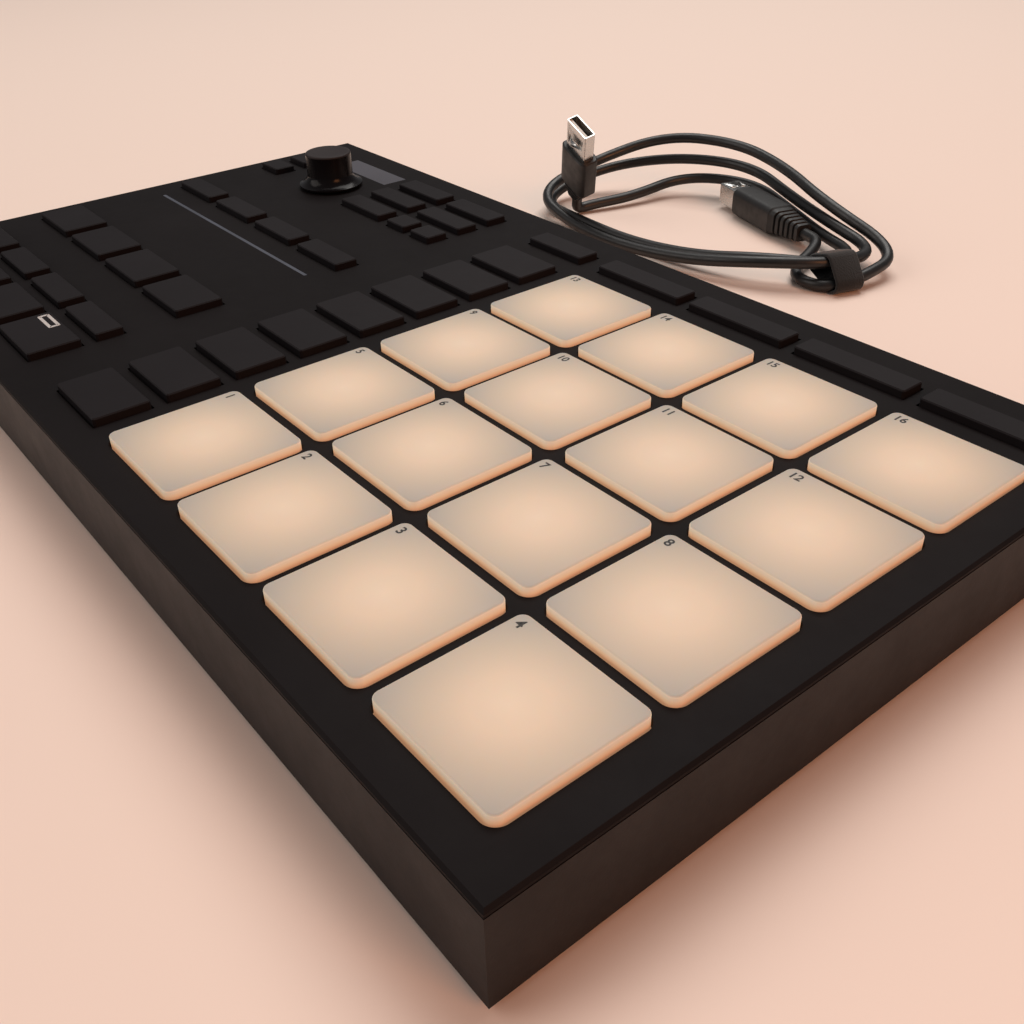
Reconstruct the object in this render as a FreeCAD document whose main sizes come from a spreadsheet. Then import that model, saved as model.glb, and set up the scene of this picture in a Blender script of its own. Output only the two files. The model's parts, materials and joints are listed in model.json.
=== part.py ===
import FreeCAD, Part
import math
import os
import Sketcher

# A pad drum machine lying flat, with its USB lead coiled behind it.
# Millimetres. X runs along the long front edge, Y from front to back, Z up.
# The origin is on the table, under the middle of the case.

Vector = FreeCAD.Vector
doc = FreeCAD.newDocument("drum_machine")

# The driving sizes, each written once.
SIZES = [
    ("pad_size", 32.0, "side of a silicone pad"),
    ("pad_web", 4.0, "strip of cover between two pads"),
    ("pad_margin", 9.6, "right edge of the case to the pads"),
    ("front_margin", 9.1, "front edge of the case to the pads and keys"),
    ("back_margin", 11.3, "top row of keys to the back edge of the case"),
    ("left_margin", 8.5, "left edge of the case to the left keys"),
    ("column_gap", 8.2, "pads to the key column beside them"),
    ("group_gap", 21.3, "key column to the left keys"),
    ("key_width", 23.6, "width of a key"),
    ("key_web", 4.8, "strip of cover between two left keys"),
    ("row_web", 4.0, "strip of cover between two key rows"),
    ("short_depth", 7.6, "front to back of a short key"),
    ("menu_web", 4.4, "strip of cover between two menu key rows"),
    ("mode_gap", 9.0, "pads to the mode row behind them"),
    ("third_row_gap", 14.9, "second row to the third row"),
    ("back_row_gap", 36.9, "third row to the back row"),
    ("strip_gap", 8.5, "touch strip line to the back row"),
    ("arrow_width", 10.0, "width of an arrow key"),
    ("side_width", 11.6, "width of a side key"),
    ("side_margin", 7.4, "left edge of the case to the side keys"),
    ("foot_drop", 1.6, "height of the case above the table"),
    ("case_height", 22.0, "underside of the case to the panel"),
    ("case_wall", 2.4, "wall of the case"),
    ("case_floor", 2.4, "floor of the case"),
    ("cover_edge", 1.2, "height of the cover's edge"),
    ("cover_plate", 2.4, "thickness of the cover inside the walls"),
    ("cover_gap", 0.3, "seam between cover and case"),
    ("edge_chamfer", 0.6, "chamfer round the cover"),
    ("pad_rise", 2.0, "pad top above the panel"),
    ("pad_corner", 2.5, "corner radius of a pad"),
    ("pad_round", 0.7, "bevel round a pad's top"),
    ("pad_gap", 0.6, "gap round a pad in its window"),
    ("key_rise", 2.0, "key top above the panel"),
    ("key_corner", 0.5, "bevel on a key's corners"),
    ("key_round", 0.3, "bevel round a key's top"),
    ("key_gap", 0.4, "gap round a key in its window"),
    ("flange_width", 1.2, "flange that keeps a cap under the cover"),
    ("flange_thick", 1.0, "thickness of that flange"),
    ("flange_gap", 0.2, "flange to the underside of the cover"),
    ("key_travel", 1.0, "travel of a key"),
    ("pad_travel", 0.5, "travel of a pad"),
    ("press_gap", 0.3, "gap left under a cap at the end of its travel"),
    ("stem_width", 4.0, "stem under a key"),
    ("plunger_width", 24.0, "plunger under a pad"),
    ("switch_side", 4.5, "side of a switch"),
    ("switch_height", 0.9, "height of a switch"),
    ("board_thick", 1.6, "thickness of the circuit board"),
    ("board_gap", 0.5, "circuit board to the case walls"),
    ("column_height", 10.4, "case columns under the board"),
    ("column_radius", 4.0, "radius of a case column"),
    ("post_radius", 2.4, "radius of a cover post"),
    ("pilot_radius", 1.5, "radius of the screw holes"),
    ("post_inset", 5.3, "screws in from the case edge"),
    ("screw_radius", 1.2, "radius of a screw's shank"),
    ("screw_head_radius", 2.3, "radius of a screw's head"),
    ("screw_head_height", 1.6, "height of a screw's head"),
    ("screw_bite", 4.0, "length of screw inside a cover post"),
    ("screw_spare", 0.4, "hole left past the end of a screw"),
    ("screw_gap", 0.3, "gap round a screw's head"),
    ("foot_radius", 6.0, "radius of a rubber foot"),
    ("foot_recess", 0.5, "depth of a foot's seat in the case"),
    ("foot_fit", 0.1, "gap round a foot in its seat"),
    ("foot_inset", 17.0, "feet in from the case edge"),
    ("knob_from_left", 44.8, "left edge of the case to the knob's axis"),
    ("knob_from_back", 34.6, "back edge of the case to the knob's axis"),
    ("knob_skirt_radius", 11.3, "radius of the knob's flared skirt"),
    ("knob_radius", 8.1, "radius of the knob's body"),
    ("knob_lift", 0.8, "skirt above the panel"),
    ("knob_top", 12.3, "knob's top above the panel"),
    ("knob_dish", 0.5, "depth of the dish in the knob's top"),
    ("knob_land", 0.4, "flat ring left round the dish"),
    ("knob_edge", 0.6, "round over the knob's top edge"),
    ("knob_lip", 0.7, "height of the skirt's edge"),
    ("knob_flare", 4.0, "height of the flare"),
    ("knob_hollow", 0.7, "depth of the flare's curve"),
    ("shaft_cover", 2.9, "knob left above the end of the shaft"),
    ("shaft_radius", 3.0, "radius of the encoder shaft"),
    ("shaft_flat", 2.3, "axis to the flat of the shaft"),
    ("shaft_fit", 0.1, "gap round the shaft"),
    ("shaft_seat", 0.5, "foot of the shaft's bore above the board"),
    ("push_travel", 0.5, "push of the knob"),
    ("encoder_side", 12.0, "side of the encoder's body"),
    ("encoder_height", 4.5, "height of the encoder's body"),
    ("bush_radius", 4.5, "radius of the encoder's bush"),
    ("bush_gap", 0.4, "gap round the bush in the cover"),
    ("display_from_left", 24.0, "left edge of the case to the display"),
    ("display_width", 33.0, "width of the display window"),
    ("display_depth", 9.5, "front to back of the display window"),
    ("display_thick", 1.2, "thickness of the display window"),
    ("display_frame", 1.5, "ledge that carries the display window"),
    ("display_fit", 0.1, "gap round the display window"),
    ("display_panel_inset", 2.0, "display panel in from the window's edge"),
    ("display_air", 0.8, "display panel to the window above it"),
    ("strip_length", 101.5, "length of the touch strip line"),
    ("strip_from_left", 12.5, "left edge of the case to the line"),
    ("strip_width", 1.2, "width of the line"),
    ("strip_sink", 0.4, "depth of the line's groove"),
    ("socket_width", 12.0, "width of the USB socket"),
    ("socket_height", 10.9, "height of the USB socket"),
    ("socket_length", 16.2, "length of the USB socket"),
    ("socket_rise", 2.1, "socket's top above the board"),
    ("socket_wall", 1.4, "wall of the socket"),
    ("socket_bore", 9.0, "depth of the socket's bore"),
    ("socket_tongue", 5.6, "width of the socket's tongue"),
    ("socket_tongue_height", 3.2, "height of the tongue"),
    ("tongue_set_back", 1.2, "end of the tongue inside the socket's mouth"),
    ("socket_gap", 0.3, "gap round the socket in the case"),
    ("lead_radius", 2.0, "radius of the USB lead"),
    ("lead_height", 2.3, "axis of the lead above the table where it lies flat"),
    ("relief_wall", 1.0, "thickness of a plug's relief round the lead"),
    ("grip_round", 1.6, "rounding along a plug's grip"),
    ("relief_round", 0.9, "rounding along a plug's relief"),
    ("shell_wall", 0.4, "sheet metal of a plug's shell"),
    ("plug_a_relief", 5.5, "length of the A plug's relief"),
    ("plug_a_width", 15.6, "width of the A plug's grip"),
    ("plug_a_thick", 7.8, "thickness of the A plug's grip"),
    ("plug_a_length", 17.0, "length of the A plug's grip"),
    ("plug_a_shell_width", 12.0, "width of the A plug's shell"),
    ("plug_a_shell_thick", 4.5, "thickness of the A plug's shell"),
    ("plug_a_shell_length", 11.5, "length of the A plug's shell"),
    ("plug_a_tongue", 1.6, "thickness of the A plug's tongue"),
    ("plug_b_relief", 15.0, "length of the B plug's relief"),
    ("plug_b_width", 11.4, "width of the B plug's grip"),
    ("plug_b_thick", 10.4, "thickness of the B plug's grip"),
    ("plug_b_length", 26.0, "length of the B plug's grip"),
    ("plug_b_shell_width", 8.4, "width of the B plug's shell"),
    ("plug_b_shell_thick", 7.8, "thickness of the B plug's shell"),
    ("plug_b_shell_length", 11.5, "length of the B plug's shell"),
    ("plug_b_tongue", 2.8, "thickness of the B plug's tongue"),
]

# How far a cutter stands out of what it cuts, and how far joined solids lie in each other.
SPARE = "1"
OVERLAP = "0.5"

sheet = doc.addObject("Spreadsheet::Sheet", "Sizes")
for row, (alias, amount, meaning) in enumerate(SIZES, start=1):
    sheet.set(f"A{row}", str(amount))
    sheet.setAlias(f"A{row}", alias)
    sheet.set(f"B{row}", meaning)
doc.recompute()

# The layout is added up from the pieces, so the case grows with what it holds.
PITCH = "(Sizes.pad_size + Sizes.pad_web)"
PADS = "(4 * Sizes.pad_size + 3 * Sizes.pad_web)"
LEFT_KEYS = "(4 * Sizes.key_width + 3 * Sizes.key_web)"
KEY_DEPTH = f"({PITCH} / 2 - Sizes.row_web)"
LENGTH = (f"(Sizes.left_margin + {LEFT_KEYS} + Sizes.group_gap + Sizes.key_width"
          f" + Sizes.column_gap + {PADS} + Sizes.pad_margin)")
DEPTH = f"(Sizes.front_margin + {PADS} + Sizes.mode_gap + Sizes.short_depth + Sizes.back_margin)"
LEFT = f"(0 - {LENGTH} / 2)"
FRONT = f"(0 - {DEPTH} / 2 + Sizes.front_margin)"
PADS_LEFT = f"({LENGTH} / 2 - Sizes.pad_margin - {PADS})"
COLUMN_LEFT = f"({PADS_LEFT} - Sizes.column_gap - Sizes.key_width)"
KEYS_LEFT = f"({LEFT} + Sizes.left_margin)"
SECOND_ROW = f"({FRONT} + {KEY_DEPTH} + Sizes.row_web)"
THIRD_ROW = f"({SECOND_ROW} + Sizes.short_depth + Sizes.third_row_gap)"
BACK_ROW = f"({THIRD_ROW} + {KEY_DEPTH} + Sizes.back_row_gap)"
TOP_ROW = f"({FRONT} + {PADS} + Sizes.mode_gap)"
MENU_PITCH = "(Sizes.short_depth + Sizes.menu_web)"
KNOB_X = f"({LEFT} + Sizes.knob_from_left)"
KNOB_Y = f"({DEPTH} / 2 - Sizes.knob_from_back)"
SOCKET_X = f"({COLUMN_LEFT} - Sizes.group_gap / 2)"

# Heights, from the table up.
FLOOR_TOP = "(Sizes.foot_drop + Sizes.case_floor)"
BOARD_UNDER = f"({FLOOR_TOP} + Sizes.column_height)"
BOARD_TOP = f"({BOARD_UNDER} + Sizes.board_thick)"
SWITCH_TOP = f"({BOARD_TOP} + Sizes.switch_height)"
PANEL_TOP = "(Sizes.foot_drop + Sizes.case_height)"
PLATE_UNDER = f"({PANEL_TOP} - Sizes.cover_plate)"
EDGE_UNDER = f"({PANEL_TOP} - Sizes.cover_edge)"
RIM_TOP = f"({EDGE_UNDER} - Sizes.cover_gap)"
FLANGE_TOP = f"({PLATE_UNDER} - Sizes.flange_gap)"
FLANGE_UNDER = f"({FLANGE_TOP} - Sizes.flange_thick)"
SKIRT_UNDER = f"({PANEL_TOP} + Sizes.knob_lift)"
KNOB_TOP = f"({PANEL_TOP} + Sizes.knob_top)"
SHAFT_TOP = f"({KNOB_TOP} - Sizes.shaft_cover)"
SOCKET_TOP = f"({BOARD_TOP} + Sizes.socket_rise)"

NODES = {}


def number(expression):
    """The value of an expression on the sheet."""
    return float(sheet.evalExpression(expression.replace("Sizes.", "")))


def centre(low, span):
    """The expression for the middle of a span that starts at low."""
    return f"({low} + {span} / 2)"


def keep(node, item):
    """Name a finished piece and list it for export."""
    item.Label = node
    NODES[node] = item
    return item


def place(item, x="0", y="0", z="0"):
    """Bind a piece's place to the sheet."""
    for axis, expression in (("x", x), ("y", y), ("z", z)):
        item.setExpression(f"Placement.Base.{axis}", expression)
    return item


def origin_plane(body, role):
    """One of a body's own origin planes."""
    return [item for item in body.Origin.OriginFeatures if item.Role == role][0]


def new_sketch(body, name, role, lift="0"):
    """An empty sketch on a body's own plane, lifted off it."""
    sketch = body.newObject("Sketcher::SketchObject", name)
    sketch.AttachmentSupport = [(origin_plane(body, role), "")]
    sketch.MapMode = "FlatFace"
    sketch.setExpression("AttachmentOffset.Base.z", lift)
    return sketch


def rectangle(body, name, width, depth, lift):
    """A sketch of a rectangle about the body's origin."""
    sketch = new_sketch(body, name, "XY_Plane", lift)
    half_width = number(width) / 2
    half_depth = number(depth) / 2
    corners = [(-1, -1), (1, -1), (1, 1), (-1, 1)]
    points = [Vector(x * half_width, y * half_depth, 0) for x, y in corners]
    for index in range(4):
        sketch.addGeometry(Part.LineSegment(points[index], points[(index + 1) % 4]))
    for index in range(4):
        sketch.addConstraint(Sketcher.Constraint("Coincident", index, 2, (index + 1) % 4, 1))
    for index in (0, 2):
        sketch.addConstraint(Sketcher.Constraint("Horizontal", index))
    for index in (1, 3):
        sketch.addConstraint(Sketcher.Constraint("Vertical", index))
    sketch.addConstraint(Sketcher.Constraint("Symmetric", 0, 1, 1, 2, -1, 1))
    for index, label, expression in ((0, "wide", width), (1, "deep", depth)):
        made = sketch.addConstraint(Sketcher.Constraint("Distance", index, number(expression)))
        sketch.renameConstraint(made, label)
        sketch.setExpression(f"Constraints.{label}", expression)
    return sketch


def extrude(body, sketch, name, length, down=False):
    """Pad a sketch by a length on the sheet."""
    pad = body.newObject("PartDesign::Pad", name)
    pad.Profile = sketch
    pad.Reversed = down
    pad.setExpression("Length", length)
    doc.recompute()
    return pad


def edges_where(shape, test):
    """Names of the edges whose two ends pass a test."""
    names = []
    for index, edge in enumerate(shape.Edges, start=1):
        ends = [vertex.Point for vertex in edge.Vertexes]
        if test(ends[0], ends[-1]):
            names.append(f"Edge{index}")
    return names


def round_edges(body, base, name, radius, test):
    """Fillet the edges of a feature that pass a test."""
    fillet = body.newObject("PartDesign::Fillet", name)
    fillet.Base = (base, edges_where(base.Shape, test))
    fillet.setExpression("Radius", radius)
    doc.recompute()
    return fillet


def chamfer_edges(body, base, name, size, test):
    """Chamfer the edges of a feature that pass a test."""
    chamfer = body.newObject("PartDesign::Chamfer", name)
    chamfer.Base = (base, edges_where(base.Shape, test))
    chamfer.setExpression("Size", size)
    doc.recompute()
    return chamfer


def upright(low, high):
    """An edge that runs straight up."""
    return abs(high.z - low.z) > 1e-6 and math.hypot(high.x - low.x, high.y - low.y) < 1e-6


def level_with(height):
    """A test for edges that lie at a height on the sheet."""
    level = number(height)
    return lambda a, b: abs(a.z - level) < 1e-6 and abs(b.z - level) < 1e-6


def block(name, width, depth, low, high):
    """A block about the origin, as a body and its one feature."""
    body = doc.addObject("PartDesign::Body", name)
    sketch = rectangle(body, name + "_outline", width, depth, low)
    return body, extrude(body, sketch, name + "_block", f"{high} - {low}")


def soften_corners(body, feature, name, kind, extra="0"):
    """A pad has round corners, a key small bevelled ones."""
    size = f"(Sizes.{kind}_corner + {extra})"
    soften = round_edges if kind == "pad" else chamfer_edges
    return soften(body, feature, name + "_corners", size, upright)


def cap_master(name, width, depth, kind, stem_wide, stem_deep, travel):
    """A pressed cap: the part seen above the cover, its flange and its stem."""
    top = f"({PANEL_TOP} + Sizes.{kind}_rise)"
    body, feature = block(name, width, depth, FLANGE_UNDER, top)
    feature = soften_corners(body, feature, name, kind)
    chamfer_edges(body, feature, name + "_top", f"Sizes.{kind}_round", level_with(top))
    flange = rectangle(body, name + "_flange", f"({width} + 2 * Sizes.flange_width)",
                       f"({depth} + 2 * Sizes.flange_width)", FLANGE_UNDER)
    extrude(body, flange, name + "_flange_pad", "Sizes.flange_thick")
    stem_end = f"({SWITCH_TOP} + {travel} + Sizes.press_gap)"
    stem = rectangle(body, name + "_stem", stem_wide, stem_deep, FLANGE_UNDER)
    extrude(body, stem, name + "_stem_pad", f"{FLANGE_UNDER} - {stem_end}", down=True)
    return body


def window_master(name, width, depth, kind):
    """The tool that cuts a cap's window in the cover."""
    gap = f"Sizes.{kind}_gap"
    body, feature = block(name, f"({width} + 2 * {gap})", f"({depth} + 2 * {gap})",
                          f"({PLATE_UNDER} - {SPARE})", f"({PANEL_TOP} + {SPARE})")
    if kind == "pad":
        soften_corners(body, feature, name, kind, gap)
    return body


def clone(master, name, x, y):
    """A copy of a master body at a place on the sheet."""
    body = doc.addObject("PartDesign::Body", name)
    copy = body.newObject("PartDesign::FeatureBase", name + "_clone")
    copy.BaseFeature = master
    body.Tip = copy
    return place(body, x, y)


# Each kind of cap: width, depth, family, stem, travel.
KEY_STEM = ("Sizes.stem_width", "Sizes.stem_width", "Sizes.key_travel")
PAD_STEM = ("Sizes.plunger_width", "Sizes.plunger_width", "Sizes.pad_travel")
KINDS = {
    "pad": ("Sizes.pad_size", "Sizes.pad_size", "pad", *PAD_STEM),
    "deep_key": ("Sizes.key_width", KEY_DEPTH, "key", *KEY_STEM),
    "short_key": ("Sizes.key_width", "Sizes.short_depth", "key", *KEY_STEM),
    "wide_key": ("Sizes.pad_size", "Sizes.short_depth", "key", *KEY_STEM),
    "arrow_key": ("Sizes.arrow_width", "Sizes.short_depth", "key", *KEY_STEM),
    "side_key": ("Sizes.side_width", "Sizes.short_depth", "key", *KEY_STEM),
}


def left_key_x(column):
    """Left edge of a left key."""
    return f"({KEYS_LEFT} + {column} * (Sizes.key_width + Sizes.key_web))"


def menu_row_y(row):
    """Front edge of a menu row, counted from the front one."""
    return f"({TOP_ROW} - {2 - row} * {MENU_PITCH})"


def cap_layout():
    """Every cap: node, kind, left edge, front edge."""
    caps = []
    for index in range(16):
        column, row = index % 4, index // 4
        caps.append((f"pad_{index + 1}", "pad", f"({PADS_LEFT} + {column} * {PITCH})",
                     f"({FRONT} + {row} * {PITCH})"))
    for index in range(8):
        caps.append((f"column_key_{index + 1}", "deep_key", COLUMN_LEFT,
                     f"({FRONT} + {index} * {PITCH} / 2)"))
    caps.append(("mode_key_1", "short_key", COLUMN_LEFT, TOP_ROW))
    for index in range(4):
        caps.append((f"mode_key_{index + 2}", "wide_key", f"({PADS_LEFT} + {index} * {PITCH})", TOP_ROW))
        caps.append((f"front_key_{index + 1}", "deep_key", left_key_x(index), FRONT))
        caps.append(("second_row_keys", "short_key", left_key_x(index), SECOND_ROW))
        caps.append((f"third_row_key_{index + 1}", "deep_key", left_key_x(index), THIRD_ROW))
        caps.append((f"back_row_key_{index + 1}", "short_key", left_key_x(index), BACK_ROW))
    for row in range(3):
        caps.append((f"menu_key_{row + 1}", "short_key", left_key_x(2), menu_row_y(row)))
        caps.append(("side_keys", "side_key", f"({LEFT} + Sizes.side_margin)", menu_row_y(row)))
    for row in (1, 2):
        caps.append((f"menu_key_{row + 3}", "short_key", left_key_x(3), menu_row_y(row)))
    caps.append(("arrow_keys", "arrow_key", left_key_x(3), menu_row_y(0)))
    caps.append(("arrow_keys", "arrow_key",
                 f"({left_key_x(3)} + Sizes.key_width - Sizes.arrow_width)", menu_row_y(0)))
    return caps


# Caps and the windows that they move in.
cap_masters = {}
window_masters = {}
for kind, (width, depth, family, stem_wide, stem_deep, travel) in KINDS.items():
    cap_masters[kind] = cap_master(kind, width, depth, family, stem_wide, stem_deep, travel)
    window_masters[kind] = window_master(kind + "_window", width, depth, family)

windows = []
switch_places = []
groups = {}
for index, (node, kind, left, front) in enumerate(cap_layout()):
    x = centre(left, KINDS[kind][0])
    y = centre(front, KINDS[kind][1])
    cap = clone(cap_masters[kind], f"cap_{index}", x, y)
    groups.setdefault(node, []).append(cap)
    windows.append(clone(window_masters[kind], f"window_{index}", x, y))
    switch_places.append((x, y))
for node, caps in groups.items():
    if len(caps) == 1:
        keep(node, caps[0])
    else:
        joined = doc.addObject("Part::Compound", node + "_set")
        joined.Links = caps
        keep(node, joined)


def cylinder(name, radius, low, high, x="0", y="0"):
    """An upright cylinder between two heights."""
    item = doc.addObject("Part::Cylinder", name)
    item.setExpression("Radius", radius)
    item.setExpression("Height", f"{high} - {low}")
    return place(item, x, y, low)


def box(name, width, depth, height, x, y, z):
    """A box by its sizes and its middle in x and y, standing at z."""
    item = doc.addObject("Part::Box", name)
    item.setExpression("Length", width)
    item.setExpression("Width", depth)
    item.setExpression("Height", height)
    return place(item, f"{x} - {width} / 2", f"{y} - {depth} / 2", z)


def fuse(name, items):
    """Several solids made one."""
    item = doc.addObject("Part::MultiFuse", name)
    item.Shapes = items
    return item


def gather(name, items):
    """Several separate solids kept side by side."""
    item = doc.addObject("Part::Compound", name)
    item.Links = items
    return item


def cut(name, base, tool):
    """One solid less another."""
    item = doc.addObject("Part::Cut", name)
    item.Base = base
    item.Tool = tool
    return item


# The screws hold case, board and cover together: four at the corners, two between keys and pads.
edge_x = f"({LENGTH} / 2 - Sizes.post_inset)"
edge_y = f"({DEPTH} / 2 - Sizes.post_inset)"
middle_x = f"({PADS_LEFT} - Sizes.column_gap / 2)"
SCREWS = [(x, y) for y in (f"(0 - {edge_y})", edge_y) for x in (f"(0 - {edge_x})", middle_x, edge_x)]


def screw_cylinders(name, radius, low, high):
    """One cylinder at each screw."""
    return [cylinder(f"{name}_{index}", radius, low, high, x, y)
            for index, (x, y) in enumerate(SCREWS, start=1)]


# Top cover: a plate that lies on the rim, with a step that drops inside the walls.
cover_body, cover_slab = block("cover_sheet", LENGTH, DEPTH, EDGE_UNDER, PANEL_TOP)
chamfer_edges(cover_body, cover_slab, "cover_chamfer", "Sizes.edge_chamfer", level_with(PANEL_TOP))
INNER_LENGTH = f"({LENGTH} - 2 * Sizes.case_wall)"
INNER_DEPTH = f"({DEPTH} - 2 * Sizes.case_wall)"
step_sketch = rectangle(cover_body, "cover_step", f"({INNER_LENGTH} - 2 * Sizes.cover_gap)",
                        f"({INNER_DEPTH} - 2 * Sizes.cover_gap)", PLATE_UNDER)
extrude(cover_body, step_sketch, "cover_step_pad", f"{EDGE_UNDER} - {PLATE_UNDER}")

DISPLAY_X = f"({LEFT} + Sizes.display_from_left + Sizes.display_width / 2)"
DISPLAY_Y = f"({TOP_ROW} + Sizes.short_depth / 2)"
display_seat = box("display_seat", "(Sizes.display_width + 2 * Sizes.display_fit)",
                   "(Sizes.display_depth + 2 * Sizes.display_fit)", f"Sizes.display_thick + {SPARE}",
                   DISPLAY_X, DISPLAY_Y, f"({PANEL_TOP} - Sizes.display_thick)")
display_hole = box("display_hole", "(Sizes.display_width - 2 * Sizes.display_frame)",
                   "(Sizes.display_depth - 2 * Sizes.display_frame)",
                   f"Sizes.cover_plate + 2 * {SPARE}", DISPLAY_X, DISPLAY_Y, f"({PLATE_UNDER} - {SPARE})")
bush_hole = cylinder("bush_hole", "(Sizes.bush_radius + Sizes.bush_gap)", f"({PLATE_UNDER} - {SPARE})",
                     f"({PANEL_TOP} + {SPARE})", KNOB_X, KNOB_Y)
strip_groove = box("strip_groove", "Sizes.strip_length", "Sizes.strip_width",
                   f"Sizes.strip_sink + {SPARE}",
                   f"({LEFT} + Sizes.strip_from_left + Sizes.strip_length / 2)",
                   f"({BACK_ROW} - Sizes.strip_gap)", f"({PANEL_TOP} - Sizes.strip_sink)")
cover_cuts = gather("cover_cuts", windows + [fuse("display_cut", [display_seat, display_hole]),
                                             bush_hole, strip_groove])
cover_open = cut("cover_open", cover_body, cover_cuts)
cover_posts = screw_cylinders("post", "Sizes.post_radius", BOARD_TOP, f"{PLATE_UNDER} + {OVERLAP}")
cover_solid = fuse("cover_solid", [cover_open] + cover_posts)
pilots = gather("pilots", screw_cylinders("pilot", "Sizes.pilot_radius", f"({BOARD_TOP} - {SPARE})",
                                          f"{BOARD_TOP} + Sizes.screw_bite + Sizes.screw_spare"))
keep("top_cover", cut("cover", cover_solid, pilots))

# Display window: a dark lens that lies in the cover's seat.
keep("display_window", box("display_lens", "Sizes.display_width", "Sizes.display_depth",
                           "Sizes.display_thick", DISPLAY_X, DISPLAY_Y,
                           f"{PANEL_TOP} - Sizes.display_thick"))

# Bottom case: an open tub with screw columns, seats for the feet and a window for the socket.
case_body = doc.addObject("PartDesign::Body", "case_tub")
tub_sketch = rectangle(case_body, "tub_outline", LENGTH, DEPTH, "Sizes.foot_drop")
extrude(case_body, tub_sketch, "tub_block", f"{RIM_TOP} - Sizes.foot_drop")
hollow_sketch = rectangle(case_body, "hollow_outline", INNER_LENGTH, INNER_DEPTH, RIM_TOP)
hollow = case_body.newObject("PartDesign::Pocket", "hollow")
hollow.Profile = hollow_sketch
hollow.setExpression("Length", f"{RIM_TOP} - {FLOOR_TOP}")
doc.recompute()
columns = screw_cylinders("column", "Sizes.column_radius", f"({FLOOR_TOP} - {OVERLAP})", BOARD_UNDER)
# A column near the wall never stands out of it.
columns_inside = doc.addObject("Part::Common", "columns_inside")
columns_inside.Base = gather("column_set", columns)
columns_inside.Tool = box("case_limit", LENGTH, DEPTH, "Sizes.case_height", "0", "0", "Sizes.foot_drop")
case_solid = fuse("case_solid", [case_body, columns_inside])
screw_bores = screw_cylinders("bore", "Sizes.pilot_radius", f"(Sizes.foot_drop - {SPARE})",
                              f"({BOARD_UNDER} + {SPARE})")
head_bores = screw_cylinders("head_bore", "(Sizes.screw_head_radius + Sizes.screw_gap)",
                             f"(Sizes.foot_drop - {SPARE})", FLOOR_TOP)
FEET = [(f"({sx} * ({LENGTH} / 2 - Sizes.foot_inset))", f"({sy} * ({DEPTH} / 2 - Sizes.foot_inset))")
        for sx in ("(0 - 1)", "1") for sy in ("(0 - 1)", "1")]
foot_seats = [cylinder(f"foot_seat_{index}", "(Sizes.foot_radius + Sizes.foot_fit)",
                       f"(Sizes.foot_drop - {SPARE})", "(Sizes.foot_drop + Sizes.foot_recess)", x, y)
              for index, (x, y) in enumerate(FEET, start=1)]
socket_window = box("socket_window", "(Sizes.socket_width + 2 * Sizes.socket_gap)",
                    f"(Sizes.case_wall + 2 * {SPARE})",
                    "(Sizes.socket_height + 2 * Sizes.socket_gap)", SOCKET_X,
                    f"({DEPTH} / 2 - Sizes.case_wall / 2)",
                    f"({SOCKET_TOP} - Sizes.socket_height - Sizes.socket_gap)")
case_cuts = fuse("case_cuts", screw_bores + head_bores + foot_seats + [socket_window])
keep("bottom_case", cut("case", case_solid, case_cuts))

# Rubber feet, glued in their seats.
keep("rubber_feet", gather("feet", [
    cylinder(f"foot_{index}", "Sizes.foot_radius", "0", "(Sizes.foot_drop + Sizes.foot_recess)", x, y)
    for index, (x, y) in enumerate(FEET, start=1)]))

# Case screws: a flat head in the floor, a shank through the board into the cover's post.
heads = screw_cylinders("screw_head", "Sizes.screw_head_radius",
                        f"({FLOOR_TOP} - Sizes.screw_head_height)", FLOOR_TOP)
shanks = screw_cylinders("screw_shank", "Sizes.screw_radius", f"({FLOOR_TOP} - {OVERLAP})",
                         f"({BOARD_TOP} + Sizes.screw_bite)")
keep("case_screws", gather("screws", [fuse(f"screw_{index}", list(pair))
                                      for index, pair in enumerate(zip(heads, shanks), start=1)]))

# Circuit board with its switches, the encoder's body, the display panel and the USB socket.
board_plate = box("board_plate", f"({INNER_LENGTH} - 2 * Sizes.board_gap)",
                  f"({INNER_DEPTH} - 2 * Sizes.board_gap)", "Sizes.board_thick", "0", "0", BOARD_UNDER)
ON_BOARD = f"({BOARD_TOP} - {OVERLAP})"
switches = [box(f"switch_{index}", "Sizes.switch_side", "Sizes.switch_side",
                f"Sizes.switch_height + {OVERLAP}", x, y, ON_BOARD)
            for index, (x, y) in enumerate(switch_places, start=1)]
encoder_body = box("encoder_body", "Sizes.encoder_side", "Sizes.encoder_side",
                   f"Sizes.encoder_height + {OVERLAP}", KNOB_X, KNOB_Y, ON_BOARD)
bush = cylinder("bush", "Sizes.bush_radius", ON_BOARD, PANEL_TOP, KNOB_X, KNOB_Y)
display_panel = box("display_panel", "(Sizes.display_width - 2 * Sizes.display_panel_inset)",
                    "(Sizes.display_depth - 2 * Sizes.display_panel_inset)",
                    f"{PANEL_TOP} - Sizes.display_thick - Sizes.display_air - {ON_BOARD}",
                    DISPLAY_X, DISPLAY_Y, ON_BOARD)
SOCKET_Y = f"({DEPTH} / 2 - Sizes.socket_gap - Sizes.socket_length / 2)"
socket_shell = box("socket_shell", "Sizes.socket_width", "Sizes.socket_length", "Sizes.socket_height",
                   SOCKET_X, SOCKET_Y, f"{SOCKET_TOP} - Sizes.socket_height")
BORE_Y = f"({DEPTH} / 2 - Sizes.socket_gap - Sizes.socket_bore / 2)"
socket_bore = box("socket_bore_box", "(Sizes.socket_width - 2 * Sizes.socket_wall)",
                  f"(Sizes.socket_bore + {SPARE})", "(Sizes.socket_height - 2 * Sizes.socket_wall)",
                  SOCKET_X, f"({BORE_Y} + {SPARE} / 2)",
                  f"({SOCKET_TOP} - Sizes.socket_height + Sizes.socket_wall)")
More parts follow.
